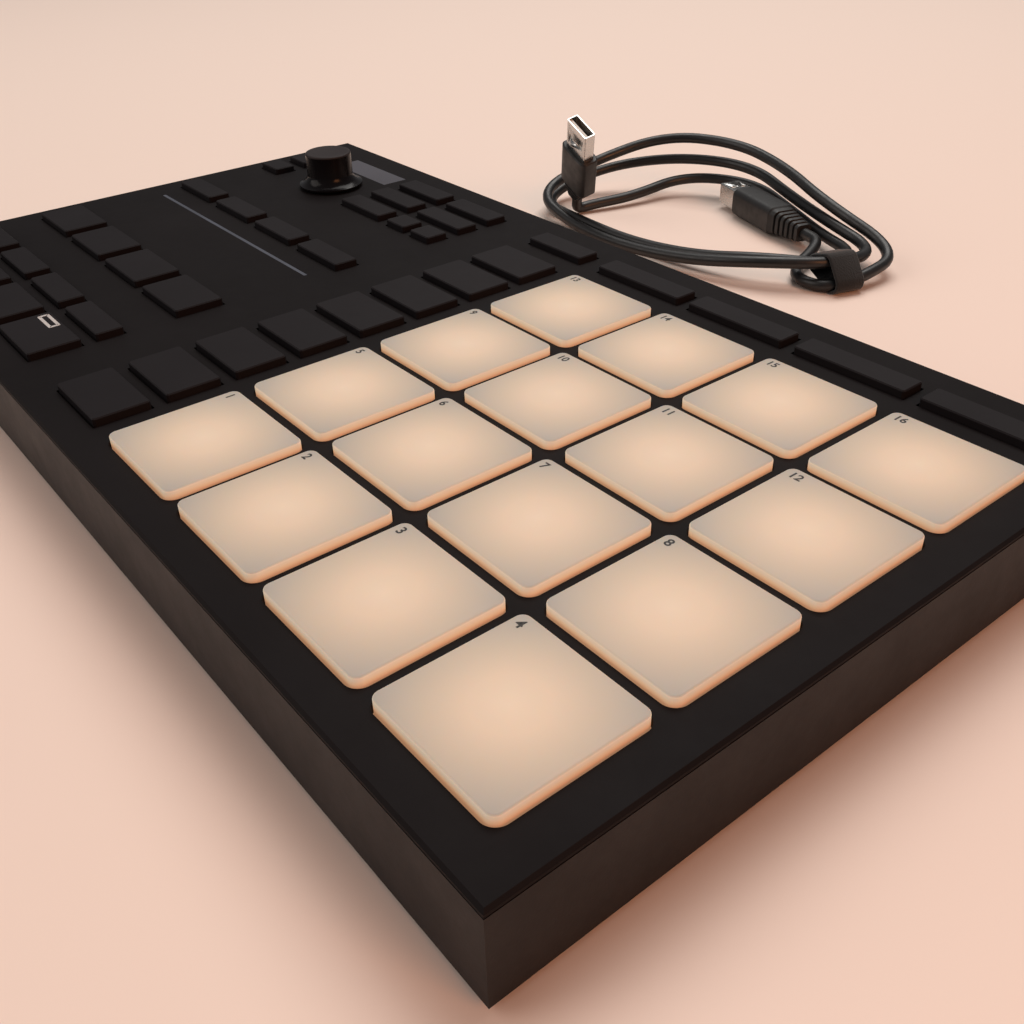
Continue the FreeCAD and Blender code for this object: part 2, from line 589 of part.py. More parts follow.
tongue = box("tongue", "Sizes.socket_tongue",
             f"(Sizes.socket_bore - Sizes.tongue_set_back + {OVERLAP})", "Sizes.socket_tongue_height",
             SOCKET_X, f"({BORE_Y} - (Sizes.tongue_set_back + {OVERLAP}) / 2)",
             f"({SOCKET_TOP} - Sizes.socket_height / 2 - Sizes.socket_tongue_height / 2)")
board_solid = fuse("board_solid", [board_plate, encoder_body, bush, display_panel, socket_shell] + switches)
shaft_bore = cylinder("shaft_bore", "(Sizes.shaft_radius + Sizes.shaft_fit)",
                      f"({BOARD_TOP} + Sizes.shaft_seat)", f"({PANEL_TOP} + {SPARE})", KNOB_X, KNOB_Y)
board_holes = screw_cylinders("board_hole", "Sizes.pilot_radius", f"({BOARD_UNDER} - {SPARE})",
                              f"({BOARD_TOP} + {SPARE})")
board_cuts = gather("board_cuts", [socket_bore, shaft_bore] + board_holes)
board_open = cut("board_open", board_solid, board_cuts)
keep("circuit_board", fuse("board", [board_open, tongue]))

# Encoder shaft: turns in its bush, with a flat that the knob grips.
shaft_round = cylinder("shaft_round", "Sizes.shaft_radius",
                       f"({BOARD_TOP} + Sizes.shaft_seat + Sizes.shaft_fit)", SHAFT_TOP, KNOB_X, KNOB_Y)
shaft_side = box("shaft_side", "Sizes.shaft_radius", "(4 * Sizes.shaft_radius)", "Sizes.knob_top",
                 f"({KNOB_X} + Sizes.shaft_flat + Sizes.shaft_radius / 2)", KNOB_Y,
                 f"({SKIRT_UNDER} - Sizes.push_travel - Sizes.press_gap)")
keep("encoder_shaft", cut("shaft", shaft_round, shaft_side))


def near(sketch, index, end, target):
    """Whether one end of a sketch line lies on the end of the line before it."""
    return (sketch.getPoint(index, end) - target).Length < 1e-6


def knob_profile(body):
    """Half of the knob's section: flared skirt, straight body, rounded top edge."""
    skirt = "Sizes.knob_skirt_radius"
    side = "Sizes.knob_radius"
    edge = "Sizes.knob_edge"
    lip_top = f"({SKIRT_UNDER} + Sizes.knob_lip)"
    flare_top = f"({SKIRT_UNDER} + Sizes.knob_flare)"
    corners = [("0", SKIRT_UNDER), (skirt, SKIRT_UNDER), (skirt, lip_top), (side, flare_top),
               (side, f"({KNOB_TOP} - {edge})"), (f"({side} - {edge})", KNOB_TOP), ("0", KNOB_TOP)]
    points = [Vector(number(x), number(z), 0) for x, z in corners]
    flare = points[3] - points[2]
    inward = Vector(-flare.y, flare.x, 0).normalize()
    round_over = number(edge) * (1 - math.sqrt(0.5))
    middles = {
        2: (points[2] + points[3]) * 0.5 + inward * number("Sizes.knob_hollow"),
        4: Vector(number(side) - round_over, number(KNOB_TOP) - round_over, 0),
    }
    sketch = new_sketch(body, "knob_section", "XZ_Plane")
    count = len(points)
    for index, point in enumerate(points):
        following = points[(index + 1) % count]
        if index in middles:
            sketch.addGeometry(Part.Arc(point, middles[index], following))
        else:
            sketch.addGeometry(Part.LineSegment(point, following))
    for index, point in enumerate(points):
        before = (index - 1) % count
        end_before = 2 if near(sketch, before, 2, point) else 1
        start_here = 1 if near(sketch, index, 1, point) else 2
        sketch.addConstraint(Sketcher.Constraint("Coincident", before, end_before, index, start_here))
        for way, expression in (("X", corners[index][0]), ("Y", corners[index][1])):
            made = sketch.addConstraint(
                Sketcher.Constraint("Distance" + way, -1, 1, index, start_here, number(expression)))
            label = f"corner_{index}_{way}"
            sketch.renameConstraint(made, label)
            sketch.setExpression(f"Constraints.{label}", expression)
    return sketch


# Knob: revolved, with a shallow dish in its top and a bore that keeps the shaft's flat.
knob_body = doc.addObject("PartDesign::Body", "knob_turned")
knob_section = knob_profile(knob_body)
knob_turn = knob_body.newObject("PartDesign::Revolution", "knob_turn")
knob_turn.Profile = knob_section
knob_turn.ReferenceAxis = (knob_section, ["V_Axis"])
knob_turn.Angle = 360
place(knob_body, KNOB_X, KNOB_Y)
DISH_EDGE = "(Sizes.knob_radius - Sizes.knob_edge - Sizes.knob_land)"
dish_ball = doc.addObject("Part::Sphere", "dish_ball")
# The ball lies on its side, so that no pole of it is in the dish.
dish_ball.Placement = FreeCAD.Placement(Vector(), FreeCAD.Rotation(Vector(1, 0, 0), 90))
dish_ball.setExpression("Radius", f"({DISH_EDGE} ^ 2 + Sizes.knob_dish ^ 2) / (2 * Sizes.knob_dish)")
place(dish_ball, KNOB_X, KNOB_Y, f"{KNOB_TOP} - Sizes.knob_dish + {dish_ball.Name}.Radius / 1mm")
bore_round = cylinder("bore_round", "(Sizes.shaft_radius + Sizes.shaft_fit)", f"({SKIRT_UNDER} - {SPARE})",
                      f"({SHAFT_TOP} + Sizes.push_travel + Sizes.press_gap)", KNOB_X, KNOB_Y)
bore_side = box("bore_side", "Sizes.shaft_radius", "(4 * Sizes.shaft_radius)", "Sizes.knob_top",
                f"({KNOB_X} + Sizes.shaft_flat + Sizes.shaft_fit + Sizes.shaft_radius / 2)", KNOB_Y,
                f"({SKIRT_UNDER} - {SPARE})")
knob_bore = cut("knob_bore", bore_round, bore_side)
keep("knob", cut("knob_piece", knob_body, gather("knob_cuts", [dish_ball, knob_bore])))


# The USB lead: one unbroken tube, from the A plug round the loose coil to the B plug.
A_PLUG_FOOT = Vector(-81, 143.5, 9.0)
A_PLUG_AXIS = Vector(0.369, -0.290, 0.883)
A_PLUG_WIDE = Vector(0.92, -0.08, -0.38)
B_PLUG_FOOT = Vector(0.5, 181, 5.9)
B_PLUG_AXIS = Vector(-0.951, 0.308, 0)
B_PLUG_WIDE = Vector(0.308, 0.951, 0)
TURNS = 2


def lead_stations():
    """Places that the lead passes, each with its direction there."""
    low = number("Sizes.lead_height")
    diameter = 2 * number("Sizes.lead_radius")
    stations = [
        (A_PLUG_FOOT, A_PLUG_AXIS * -1),
        (A_PLUG_FOOT - A_PLUG_AXIS * diameter, A_PLUG_AXIS * -1),
        (Vector(-80.5, 157.5, low + 0.7), Vector(0.3, 1, 0.04)),
        (Vector(-62, 203, 7.0), Vector(1, 0.55, 0)),
        (Vector(-5, 191.5, 5.0), Vector(0.88, -0.47, 0)),
    ]
    for turn in range(TURNS):
        stations += [
            (Vector(25 + 6 * turn, 170 + 2 * turn, 6.0 + 1.9 * turn), Vector(0.15, -1, 0.12)),
            (Vector(1, 142.5 - 5.4 * turn, 6.9), Vector(-0.95, -0.3, -0.16)),
            (Vector(-55, 135.8 - 5.6 * turn, low + 0.2), Vector(-1, 0.05, 0)),
            (Vector(-101 + 4 * turn, 156 - 6 * turn, 5.5 + 5 * turn), Vector(0, 1, 0.22)),
            (Vector(-64 - 5 * turn, 202.5 - 1.5 * turn, 14 + 8 * turn), Vector(0.9, 0.42, 0)),
            (Vector(-5 - 9 * turn, 192 + 4 * turn, 10.3 + 7.6 * turn), Vector(0.9, -0.42, -0.1 * turn)),
        ]
    stations += [
        (Vector(37, 171, 4.6), Vector(0.05, -1, -0.1)),
        (Vector(25, 152.5, low), Vector(-1, 0, 0)),
        (Vector(13.5, 165, 3.9), Vector(-0.2, 1, 0.12)),
        (B_PLUG_FOOT - B_PLUG_AXIS * diameter, B_PLUG_AXIS),
        (B_PLUG_FOOT, B_PLUG_AXIS),
    ]
    return [(point, Vector(direction).normalize()) for point, direction in stations]


def arc_from(start, direction, end):
    """The arc that leaves start in a direction and reaches end, with its radius and length."""
    chord = end - start
    along = chord / chord.Length
    aside = direction - along * direction.dot(along)
    if aside.Length < 1e-7:
        return Part.LineSegment(start, end), math.inf, chord.Length
    half_turn = math.acos(max(-1.0, min(1.0, direction.dot(along))))
    radius = chord.Length / (2 * math.sin(half_turn))
    middle = (start + end) * 0.5 + aside.normalize() * (radius * (1 - math.cos(half_turn)))
    return Part.Arc(start, middle, end), radius, 2 * radius * half_turn


def biarc(start, leaving, end, arriving):
    """Two arcs that join two stations smoothly."""
    chord = end - start
    sum_of_ways = leaving + arriving
    bend = 2 * (1 - leaving.dot(arriving))
    across = chord.dot(sum_of_ways)
    if bend < 1e-9:
        reach = chord.dot(chord) / (2 * across)
    else:
        reach = (math.sqrt(across * across + bend * chord.dot(chord)) - across) / bend
    first = start + leaving * reach
    second = end - arriving * reach
    middle = (first + second) * 0.5
    tangent = (second - first).normalize()
    return [arc_from(start, leaving, middle), arc_from(middle, tangent, end)]


# Points are this far apart along the tube, and neighbours within these radii don't count.
POINT_STEP = 1.5
NEAR_ALONG = 8.0


def least_self_gap(wire, radius):
    """Least clear gap between two turns of the tube, measured on points."""
    points = []
    travelled = 0.0
    for edge in wire.OrderedEdges:
        count = max(2, int(edge.Length / POINT_STEP))
        for step in range(count):
            share = (step + 0.5) / count
            parameter = edge.getParameterByLength(edge.Length * share)
            points.append((travelled + edge.Length * share, edge.valueAt(parameter)))
        travelled += edge.Length
    apart = NEAR_ALONG * radius
    least = math.inf
    for index, (here, point) in enumerate(points):
        for there, other in points[index + 1:]:
            if there - here > apart:
                least = min(least, (other - point).Length)
    return least - 2 * radius


def make_lead():
    """The lead's tube as one pipe shell along its arcs."""
    radius = number("Sizes.lead_radius")
    stations = lead_stations()
    edges = []
    radii = []
    length = 0.0
    for (start, leaving), (end, arriving) in zip(stations, stations[1:]):
        for curve, bend_radius, arc_length in biarc(start, leaving, end, arriving):
            edges.append(curve.toShape())
            radii.append(bend_radius)
            length += arc_length
    path = Part.Wire(edges)
    section = Part.Wire([Part.Circle(stations[0][0], stations[0][1], radius).toShape()])
    tube = path.makePipeShell([section], True, False)
    expected = math.pi * radius * radius * length
    print(f"lead: length {length:.1f}, tightest radius {min(radii):.1f}, volume / expected"
          f" {tube.Volume / expected:.5f}, least gap to itself {least_self_gap(path, radius):.2f}")
    return tube


lead = doc.addObject("Part::Feature", "lead_tube")
lead.Shape = make_lead()
keep("usb_lead", lead)


def centred_box(width, thick, length, start):
    """A box about the Z axis."""
    return Part.makeBox(width, thick, length, Vector(-width / 2, -thick / 2, start))


def oblong(half_width, half_thick, height):
    """A closed rectangle about the Z axis."""
    corners = [(-1, -1), (1, -1), (1, 1), (-1, 1), (-1, -1)]
    return Part.makePolygon([Vector(x * half_width, y * half_thick, height) for x, y in corners])


def round_sides(solid, radius):
    """Fillet the edges that run along the Z axis."""
    sides = [edge for edge in solid.Edges if abs(edge.Vertexes[0].Z - edge.Vertexes[-1].Z) > 1e-6]
    return solid.makeFillet(radius, sides)


def plug(node):
    """A moulded plug along +Z from the lead: tapered relief, grip, open metal shell, tongue."""
    relief_long, width, thick, length, shell_width, shell_thick, shell_long, tongue_thick = [
        number(f"Sizes.{node}_{part}") for part in (
            "relief", "width", "thick", "length", "shell_width", "shell_thick", "shell_length", "tongue")]
    wall = number("Sizes.shell_wall")
    relief_round = number("Sizes.relief_round")
    neck = number("Sizes.lead_radius") + number("Sizes.relief_wall")
    shoulders = oblong(width / 2 - relief_round / 2, thick / 2 - relief_round / 2, relief_long)
    relief = Part.makeLoft([oblong(neck, neck, 0), shoulders], True, True)
    relief = round_sides(relief, relief_round)
    grip = round_sides(centred_box(width, thick, length, relief_long), number("Sizes.grip_round"))
    grip_end = relief_long + length
    root = grip_end - float(OVERLAP)
    shell = centred_box(shell_width, shell_thick, shell_long + float(OVERLAP), root)
    mouth = centred_box(shell_width - 2 * wall, shell_thick - 2 * wall, shell_long, grip_end)
    tongue_width = shell_width - 2 * wall
    tongue_low = Vector(-tongue_width / 2, -shell_thick / 2 + wall, root)
    tongue = Part.makeBox(tongue_width, tongue_thick, shell_long, tongue_low)
    item = doc.addObject("Part::Feature", node + "_shape")
    item.Shape = relief.fuse([grip, shell.cut(mouth), tongue]).removeSplitter()
    return keep("usb_" + node, item)


plug_a = plug("plug_a")
plug_a.Placement = FreeCAD.Placement(
    A_PLUG_FOOT, FreeCAD.Rotation(A_PLUG_WIDE, Vector(), A_PLUG_AXIS, "ZXY"))
plug_b = plug("plug_b")
plug_b.Placement = FreeCAD.Placement(
    B_PLUG_FOOT, FreeCAD.Rotation(B_PLUG_WIDE, Vector(), B_PLUG_AXIS, "ZXY"))

doc.recompute()


def write_parts():
    """Check every object and shape, then write one file for each node."""
    for item in doc.Objects:
        if "Invalid" in item.State or "Error" in item.State:
            raise RuntimeError(f"{item.Name} failed: {item.State}")
    for node, item in NODES.items():
        if item.Shape.isNull() or not item.Shape.isValid():
            raise RuntimeError(f"{node} has no valid shape")
    os.makedirs("parts", exist_ok=True)
    for node, item in NODES.items():
        item.Shape.exportStep(f"parts/{node}.step")
    print(f"{len(NODES)} nodes, {sum(len(item.Shape.Solids) for item in NODES.values())} solids")


write_parts()
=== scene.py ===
# %% [markdown]
# A pad drum machine is a flat black box of moulded plastic, with soft silicone pads that a
# player drums on, rows of short-travel keys and one knob. This lesson dresses its solids. The
# hard pieces keep their solid's shape and get a finish; the soft, round and printed ones are
# modelled here, because that is where a solid's facets would show.

# %% Load the frame
import json
import math

import bmesh
import bpy
from mathutils import Matrix, Vector
from mathutils.geometry import convex_hull_2d

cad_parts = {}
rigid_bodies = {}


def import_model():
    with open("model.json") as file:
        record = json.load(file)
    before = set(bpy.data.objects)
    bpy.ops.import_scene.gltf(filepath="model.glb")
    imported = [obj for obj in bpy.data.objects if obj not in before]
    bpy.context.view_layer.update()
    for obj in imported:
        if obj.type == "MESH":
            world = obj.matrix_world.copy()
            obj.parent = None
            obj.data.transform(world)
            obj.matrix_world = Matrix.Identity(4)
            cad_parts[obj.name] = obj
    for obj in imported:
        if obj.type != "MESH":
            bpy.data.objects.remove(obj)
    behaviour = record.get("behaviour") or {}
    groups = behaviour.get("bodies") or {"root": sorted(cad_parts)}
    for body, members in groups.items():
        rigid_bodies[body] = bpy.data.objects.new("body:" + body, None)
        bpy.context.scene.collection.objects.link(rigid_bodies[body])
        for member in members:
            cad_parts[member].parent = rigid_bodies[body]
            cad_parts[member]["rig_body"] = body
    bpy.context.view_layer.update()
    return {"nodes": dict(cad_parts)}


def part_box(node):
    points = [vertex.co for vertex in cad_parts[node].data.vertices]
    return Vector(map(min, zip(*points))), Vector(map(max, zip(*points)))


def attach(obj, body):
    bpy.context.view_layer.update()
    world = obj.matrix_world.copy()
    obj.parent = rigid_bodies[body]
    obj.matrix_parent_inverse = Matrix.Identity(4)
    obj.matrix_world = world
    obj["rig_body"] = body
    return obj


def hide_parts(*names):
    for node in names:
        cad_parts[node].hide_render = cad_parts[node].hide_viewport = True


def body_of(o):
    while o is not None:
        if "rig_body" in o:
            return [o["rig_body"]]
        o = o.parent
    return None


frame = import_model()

MM = 0.001
nodes = frame["nodes"]

# %% [markdown]
# The photograph is taken from the front right corner, close to the object, so the near pads
# look much larger than the far keys. A camera is only its place, its direction and its lens;
# these were worked out from the straight edges of the pads, so they are written as they are.

# %% Camera
CAMERA_PLACE = Vector((0.2292, -0.1363, 0.1436))
CAMERA_RIGHT = Vector((0.6279, 0.7780, -0.0212))
CAMERA_AHEAD = Vector((-0.6494, 0.5087, -0.5652))
CAMERA_LENS = 37.45
SENSOR_WIDTH = 36.0


def add_camera():
    """The camera, turned by its own three directions."""
    bpy.ops.object.camera_add()
    camera = bpy.context.object
    camera.data.lens = CAMERA_LENS
    camera.data.sensor_width = SENSOR_WIDTH
    camera.data.clip_start = MM
    back = -CAMERA_AHEAD.normalized()
    up = back.cross(CAMERA_RIGHT).normalized()
    right = up.cross(back)
    turn = Matrix((right, up, back)).transposed().to_4x4()
    camera.matrix_world = Matrix.Translation(CAMERA_PLACE) @ turn
    bpy.context.scene.camera = camera


add_camera()
print("camera lens:", CAMERA_LENS, "mm")

# %% [markdown]
# A colour is easiest to name as a screen shows it, as an sRGB hex value, but a renderer counts
# light in linear steps, so one function turns the one into the other. A second adds a shader
# node with its settings and links, and a third starts a material with the values that are the
# same all over it. With these, each finish below takes only a few lines.

# %% Colour and material helpers
SRGB_KNEE = 0.04045
SRGB_SLOPE = 12.92
SRGB_OFFSET = 0.055
SRGB_POWER = 2.4


def linear(hex_colour):
    """An sRGB hex colour as linear red, green, blue and full alpha."""
    colour = []
    for start in (1, 3, 5):
        part = int(hex_colour[start:start + 2], 16) / 255
        if part <= SRGB_KNEE:
            colour.append(part / SRGB_SLOPE)
        else:
            colour.append(((part + SRGB_OFFSET) / (1 + SRGB_OFFSET)) ** SRGB_POWER)
    return colour + [1.0]


def add(tree, kind, settings, inputs):
    """A shader node with its settings, and its inputs as values or as links."""
    node = tree.nodes.new("ShaderNode" + kind)
    for name, value in settings.items():
        setattr(node, name, value)
    for name, value in inputs.items():
        if isinstance(value, bpy.types.NodeSocket):
            tree.links.new(value, node.inputs[name])
        else:
            node.inputs[name].default_value = value
    return node


def finish(name, colour, roughness, settings=None):
    """A new material: its node tree and its shader with the values that are the same all over."""
    material = bpy.data.materials.new(name)
    material.use_nodes = True
    shader = material.node_tree.nodes["Principled BSDF"]
    shader.inputs["Base Color"].default_value = linear(colour)
    shader.inputs["Roughness"].default_value = roughness
    for socket, value in (settings or {}).items():
        shader.inputs[socket].default_value = value
    return material, material.node_tree, shader


print("middle grey as light:", round(linear("#808080")[0], 3))

# %% [markdown]
# The floor is a plain pale sheet. Three soft boxes light it: a large one for daylight, above and
# behind the left back edge, a small warm one low at the right, and a weak one in front that
# opens up the front wall. The world is kept dim, because a bright one would mirror in the flat
# black cover and turn it grey. The levels are chosen so that a white card would just not clip,
# which lets every colour below show about as it is written.

# %% Floor, lamps and world
FLOOR_SIDE = 6.0
FLOOR_COLOUR = "#F1DCCF"
WORLD_COLOUR = "#EFEDEE"
WORLD_LEVEL = 0.22


def add_floor():
    """A wide pale floor under the object."""
    bpy.ops.mesh.primitive_plane_add(size=FLOOR_SIDE)
    floor = bpy.context.object
    floor.name = "floor"
    floor.data.materials.append(finish("pale_floor", FLOOR_COLOUR, 0.55)[0])


def add_softbox(name, place, target, side, power, colour):
    """A square lamp that looks at a point."""
    bpy.ops.object.light_add(type="AREA", location=place)
    lamp = bpy.context.object
    lamp.name = name
    lamp.data.size = side
    lamp.data.energy = power
    lamp.data.color = linear(colour)[:3]
    lamp.rotation_euler = (Vector(target) - Vector(place)).to_track_quat("-Z", "Y").to_euler()


def light_world():
    """An even pale surround."""
    world = bpy.data.worlds.new("surround")
    world.use_nodes = True
    background = world.node_tree.nodes["Background"]
    background.inputs["Color"].default_value = linear(WORLD_COLOUR)
    background.inputs["Strength"].default_value = WORLD_LEVEL
    bpy.context.scene.world = world


add_floor()
add_softbox("daylight", (-0.45, 0.7, 1.5), (0.0, 0.0, 0.0), 1.2, 21.0, "#FFFBF6")
add_softbox("warm_lamp", (1.1, 0.05, 0.6), (0.15, 0.0, 0.0), 0.5, 5.0, "#FFA468")
add_softbox("front_fill", (-0.7, -1.0, 0.8), (0.0, 0.0, 0.0), 1.0, 6.0, "#FFF4EC")
light_world()
bpy.context.scene.view_settings.view_transform = "Standard"
print("lamps:", len(bpy.data.lights))

# %% [markdown]
# The lead is a black vinyl cable, 4 mm thick, that lies unplugged behind the machine. It was
# bent into two loose turns and tied, so its turns rise and cross. A smooth spline through a few
# corners is the honest way to draw a cable, because a cable has no corners of its own. The
# route is given as stations, each a place and a way, and the spline's points are where the ways
# of two neighbouring stations meet: two for each stretch, twelve for each turn of the coil.

# %% Lead
LEAD_RADIUS = 2.0 * MM
LEAD_LOW = 2.3
A_PLUG_FOOT = Vector((-81, 143.5, 9.0))
A_PLUG_AXIS = Vector((0.369, -0.290, 0.883)).normalized()
A_PLUG_WIDE = Vector((0.92, -0.08, -0.38))
B_PLUG_FOOT = Vector((0.5, 181, 5.9))
B_PLUG_AXIS = Vector((-0.951, 0.308, 0)).normalized()
B_PLUG_WIDE = Vector((0.308, 0.951, 0))
STRAIGHT = 4.0
TURNS = 2
NO_BEND = 1e-9


def lead_stations():
    """Places in millimetres that the lead passes, each with its way there."""
    stations = [
        (A_PLUG_FOOT, -A_PLUG_AXIS),
        (A_PLUG_FOOT - A_PLUG_AXIS * STRAIGHT, -A_PLUG_AXIS),
        ((-80.5, 157.5, LEAD_LOW + 0.7), (0.3, 1, 0.04)),
        ((-62, 203, 7.0), (1, 0.55, 0)),
        ((-5, 191.5, 5.0), (0.88, -0.47, 0)),
    ]
    for turn in range(TURNS):
        stations += [
            ((25 + 6 * turn, 170 + 2 * turn, 6.0 + 1.9 * turn), (0.15, -1, 0.12)),
            ((1, 142.5 - 5.4 * turn, 6.9), (-0.95, -0.3, -0.16)),
            ((-55, 135.8 - 5.6 * turn, LEAD_LOW + 0.2), (-1, 0.05, 0)),
            ((-101 + 4 * turn, 156 - 6 * turn, 5.5 + 5 * turn), (0, 1, 0.22)),
            ((-64 - 5 * turn, 202.5 - 1.5 * turn, 14 + 8 * turn), (0.9, 0.42, 0)),
            ((-5 - 9 * turn, 192 + 4 * turn, 10.3 + 7.6 * turn), (0.9, -0.42, -0.1 * turn)),
        ]
    stations += [
        ((37, 171, 4.6), (0.05, -1, -0.1)),
        ((25, 152.5, LEAD_LOW), (-1, 0, 0)),
        ((13.5, 165, 3.9), (-0.2, 1, 0.12)),
        (B_PLUG_FOOT - B_PLUG_AXIS * STRAIGHT, B_PLUG_AXIS),
        (B_PLUG_FOOT, B_PLUG_AXIS),
    ]
    return [(Vector(place) * MM, Vector(way).normalized()) for place, way in stations]


def stretch_corners(start, leaving, end, arriving):
    """The two corners between neighbouring stations, equally far from each."""
    chord = end - start
    across = chord.dot(leaving + arriving)
    bend = 2 * (1 - leaving.dot(arriving))
    if bend < NO_BEND:
        reach = chord.length_squared / (2 * across)
    else:
        reach = (math.sqrt(across * across + bend * chord.length_squared) - across) / bend
    return start + leaving * reach, end - arriving * reach


def lay_lead():
    """The lead as one smooth open spline with a round section."""
    stations = lead_stations()
    corners = [stations[0][0]]
    for (start, leaving), (end, arriving) in zip(stations, stations[1:]):
        corners += stretch_corners(start, leaving, end, arriving)
    corners.append(stations[-1][0])
    curve = bpy.data.curves.new("usb_lead_jacket", "CURVE")
    curve.dimensions = "3D"
    spline = curve.splines.new("NURBS")
    spline.points.add(len(corners) - 1)
    for point, corner in zip(spline.points, corners):
        point.co = (*corner, 1.0)
    spline.order_u = 3
    spline.use_endpoint_u = True
    curve.resolution_u = 10
    curve.bevel_resolution = 5
    piece = bpy.data.objects.new("usb_lead_jacket", curve)
    bpy.context.scene.collection.objects.link(piece)
    return piece


def read_route(piece):
    """The points of a curve that has no round section yet."""
    depsgraph = bpy.context.evaluated_depsgraph_get()
    mesh = bpy.data.meshes.new_from_object(piece.evaluated_get(depsgraph))
    points = [vertex.co.copy() for vertex in mesh.vertices]
    bpy.data.meshes.remove(mesh)
    return points


lead = lay_lead()
lead_route = read_route(lead)
lead.data.bevel_depth = LEAD_RADIUS
lead.data.use_fill_caps = True

# %% [markdown]
# All the hard modelling below is done as by hand: add a primitive, go into edit mode, pick
# faces or edges by where they are, extrude, inset or bevel them, and go back. These helpers
# keep each step to a line: one picks, one leaves edit mode with the piece settled at the
# origin, and one makes a copy somewhere else.

# %% Modelling helpers
UPRIGHT_SHARE = 0.99
FACING = 0.9
SAME_PLACE = 1e-6


def start_piece(name):
    """Name the new primitive and open it for editing, with nothing else selected."""
    piece = bpy.context.object
    piece.name = name
    bpy.ops.object.mode_set(mode="EDIT")
    return piece


def pick(piece, kind, test):
    """Select only the faces or edges that pass a test."""
    bpy.ops.mesh.select_all(action="DESELECT")
    bpy.ops.mesh.select_mode(type=kind)
    mesh = bmesh.from_edit_mesh(piece.data)
    for item in (mesh.faces if kind == "FACE" else mesh.edges):
        if test(item):
            item.select_set(True)
    mesh.select_flush_mode()
    bmesh.update_edit_mesh(piece.data)


def settle(piece, angle=30):
    """Leave edit mode, put the place into the mesh and smooth what is not a corner."""
    bpy.ops.object.mode_set(mode="OBJECT")
    bpy.ops.object.transform_apply(location=True, rotation=True, scale=True)
    bpy.ops.object.shade_smooth_by_angle(angle=math.radians(angle))
    piece.data.name = piece.name
    return piece


def copy_of(master, name, shift):
    """A copy with its own mesh, moved by a shift."""
    piece = master.copy()
    piece.data = master.data.copy()
    piece.name = name
    piece.data.name = name
    piece.data.transform(Matrix.Translation(shift))
    bpy.context.scene.collection.objects.link(piece)
    return piece


def extrude_scaled(lift, wide, deep, centre):
    """Extrude what is selected by a lift and resize its new end about a centre."""
    bpy.ops.mesh.extrude_region_move(TRANSFORM_OT_translate={"value": (0, 0, lift)})
    bpy.ops.transform.resize(value=(wide, deep, 1), center_override=centre)


def middle_of(node):
    """The middle of a solid's box."""
    low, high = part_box(node)
    return (Vector(low) + Vector(high)) / 2


def upright(edge):
    """Whether an edge runs straight up."""
    way = edge.verts[1].co - edge.verts[0].co
    return abs(way.z) > UPRIGHT_SHARE * way.length


print("case middle:", [round(way / MM, 1) for way in middle_of("bottom_case")], "mm")

# %% [markdown]
# Each pad is a block of milky silicone, 32 mm square, that shows 2 mm above the cover. A real
# one is moulded with round corners and a soft top edge, and has a wide flange under the cover
# that keeps it in, and a plunger that presses its sensor. A cube is sized, its corners and its
# top edge are bevelled with several segments, and flange and plunger are pulled out of its
# underside. The other fifteen are copies.

# %% Pads
PAD_SIDE = 32 * MM
PAD_CORNER = 1.9 * MM
PAD_EDGE = 0.45 * MM
FLANGE_WIDTH = 1.2 * MM
FLANGE_THICK = 1.0 * MM
PLUNGER_SIDE = 24 * MM
PAD_RISE = 2.0 * MM
PAD_COUNT = 16
PANEL_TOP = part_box("top_cover")[1][2]
FLANGE_DEPTH = 2.6 * MM
FLANGE_TOP = PANEL_TOP - FLANGE_DEPTH
pad_low = Vector(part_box("pad_1")[0])


def model_cap(name, node, side, depth, corner, edge, plunger, segments):
    """A cap above its flange, with the plunger below."""
    low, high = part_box(node)
    centre = middle_of(node)
    half_way = (FLANGE_TOP + high[2]) / 2
    place = (centre.x, centre.y, half_way)
    bpy.ops.object.select_all(action="DESELECT")
    bpy.ops.mesh.primitive_cube_add(size=1, location=place)
    piece = start_piece(name)
    bpy.ops.transform.resize(value=(side, depth, high[2] - FLANGE_TOP), center_override=place)
    pick(piece, "EDGE", upright)
    bpy.ops.mesh.bevel(offset=corner, segments=segments, affect="EDGES")
    top = high[2] - half_way
    pick(piece, "EDGE", lambda edge: all(abs(v.co.z - top) < SAME_PLACE for v in edge.verts))
    bpy.ops.mesh.bevel(offset=edge, segments=max(2, segments // 2), affect="EDGES")
    pick(piece, "FACE", lambda face: face.normal.z < -FACING)
    wide = side + 2 * FLANGE_WIDTH
    deep = depth + 2 * FLANGE_WIDTH
    under = (centre.x, centre.y, 0)
    extrude_scaled(0, wide / side, deep / depth, under)
    extrude_scaled(-FLANGE_THICK, 1, 1, under)
    extrude_scaled(0, plunger / wide, plunger / deep, under)
    extrude_scaled(low[2] - FLANGE_TOP + FLANGE_THICK, 1, 1, under)
    return settle(piece)


def dress(piece, node, material):
    """Let a piece stand for a solid, on the solid's own body."""
    body = body_of(nodes[node])
    piece.data.materials.clear()
    piece.data.materials.append(material)
    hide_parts(node)
    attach(piece, body if isinstance(body, str) else body[0])
    return piece


pad_master = model_cap("silicone_pad_1", "pad_1", PAD_SIDE, PAD_SIDE, PAD_CORNER, PAD_EDGE, PLUNGER_SIDE, 8)
pads = {"pad_1": pad_master}
for index in range(2, PAD_COUNT + 1):
    node = f"pad_{index}"
    shift = middle_of(node) - middle_of("pad_1")
    pads[node] = copy_of(pad_master, f"silicone_pad_{index}", shift)
print("pads:", len(pads), "faces each:", len(pad_master.data.polygons))

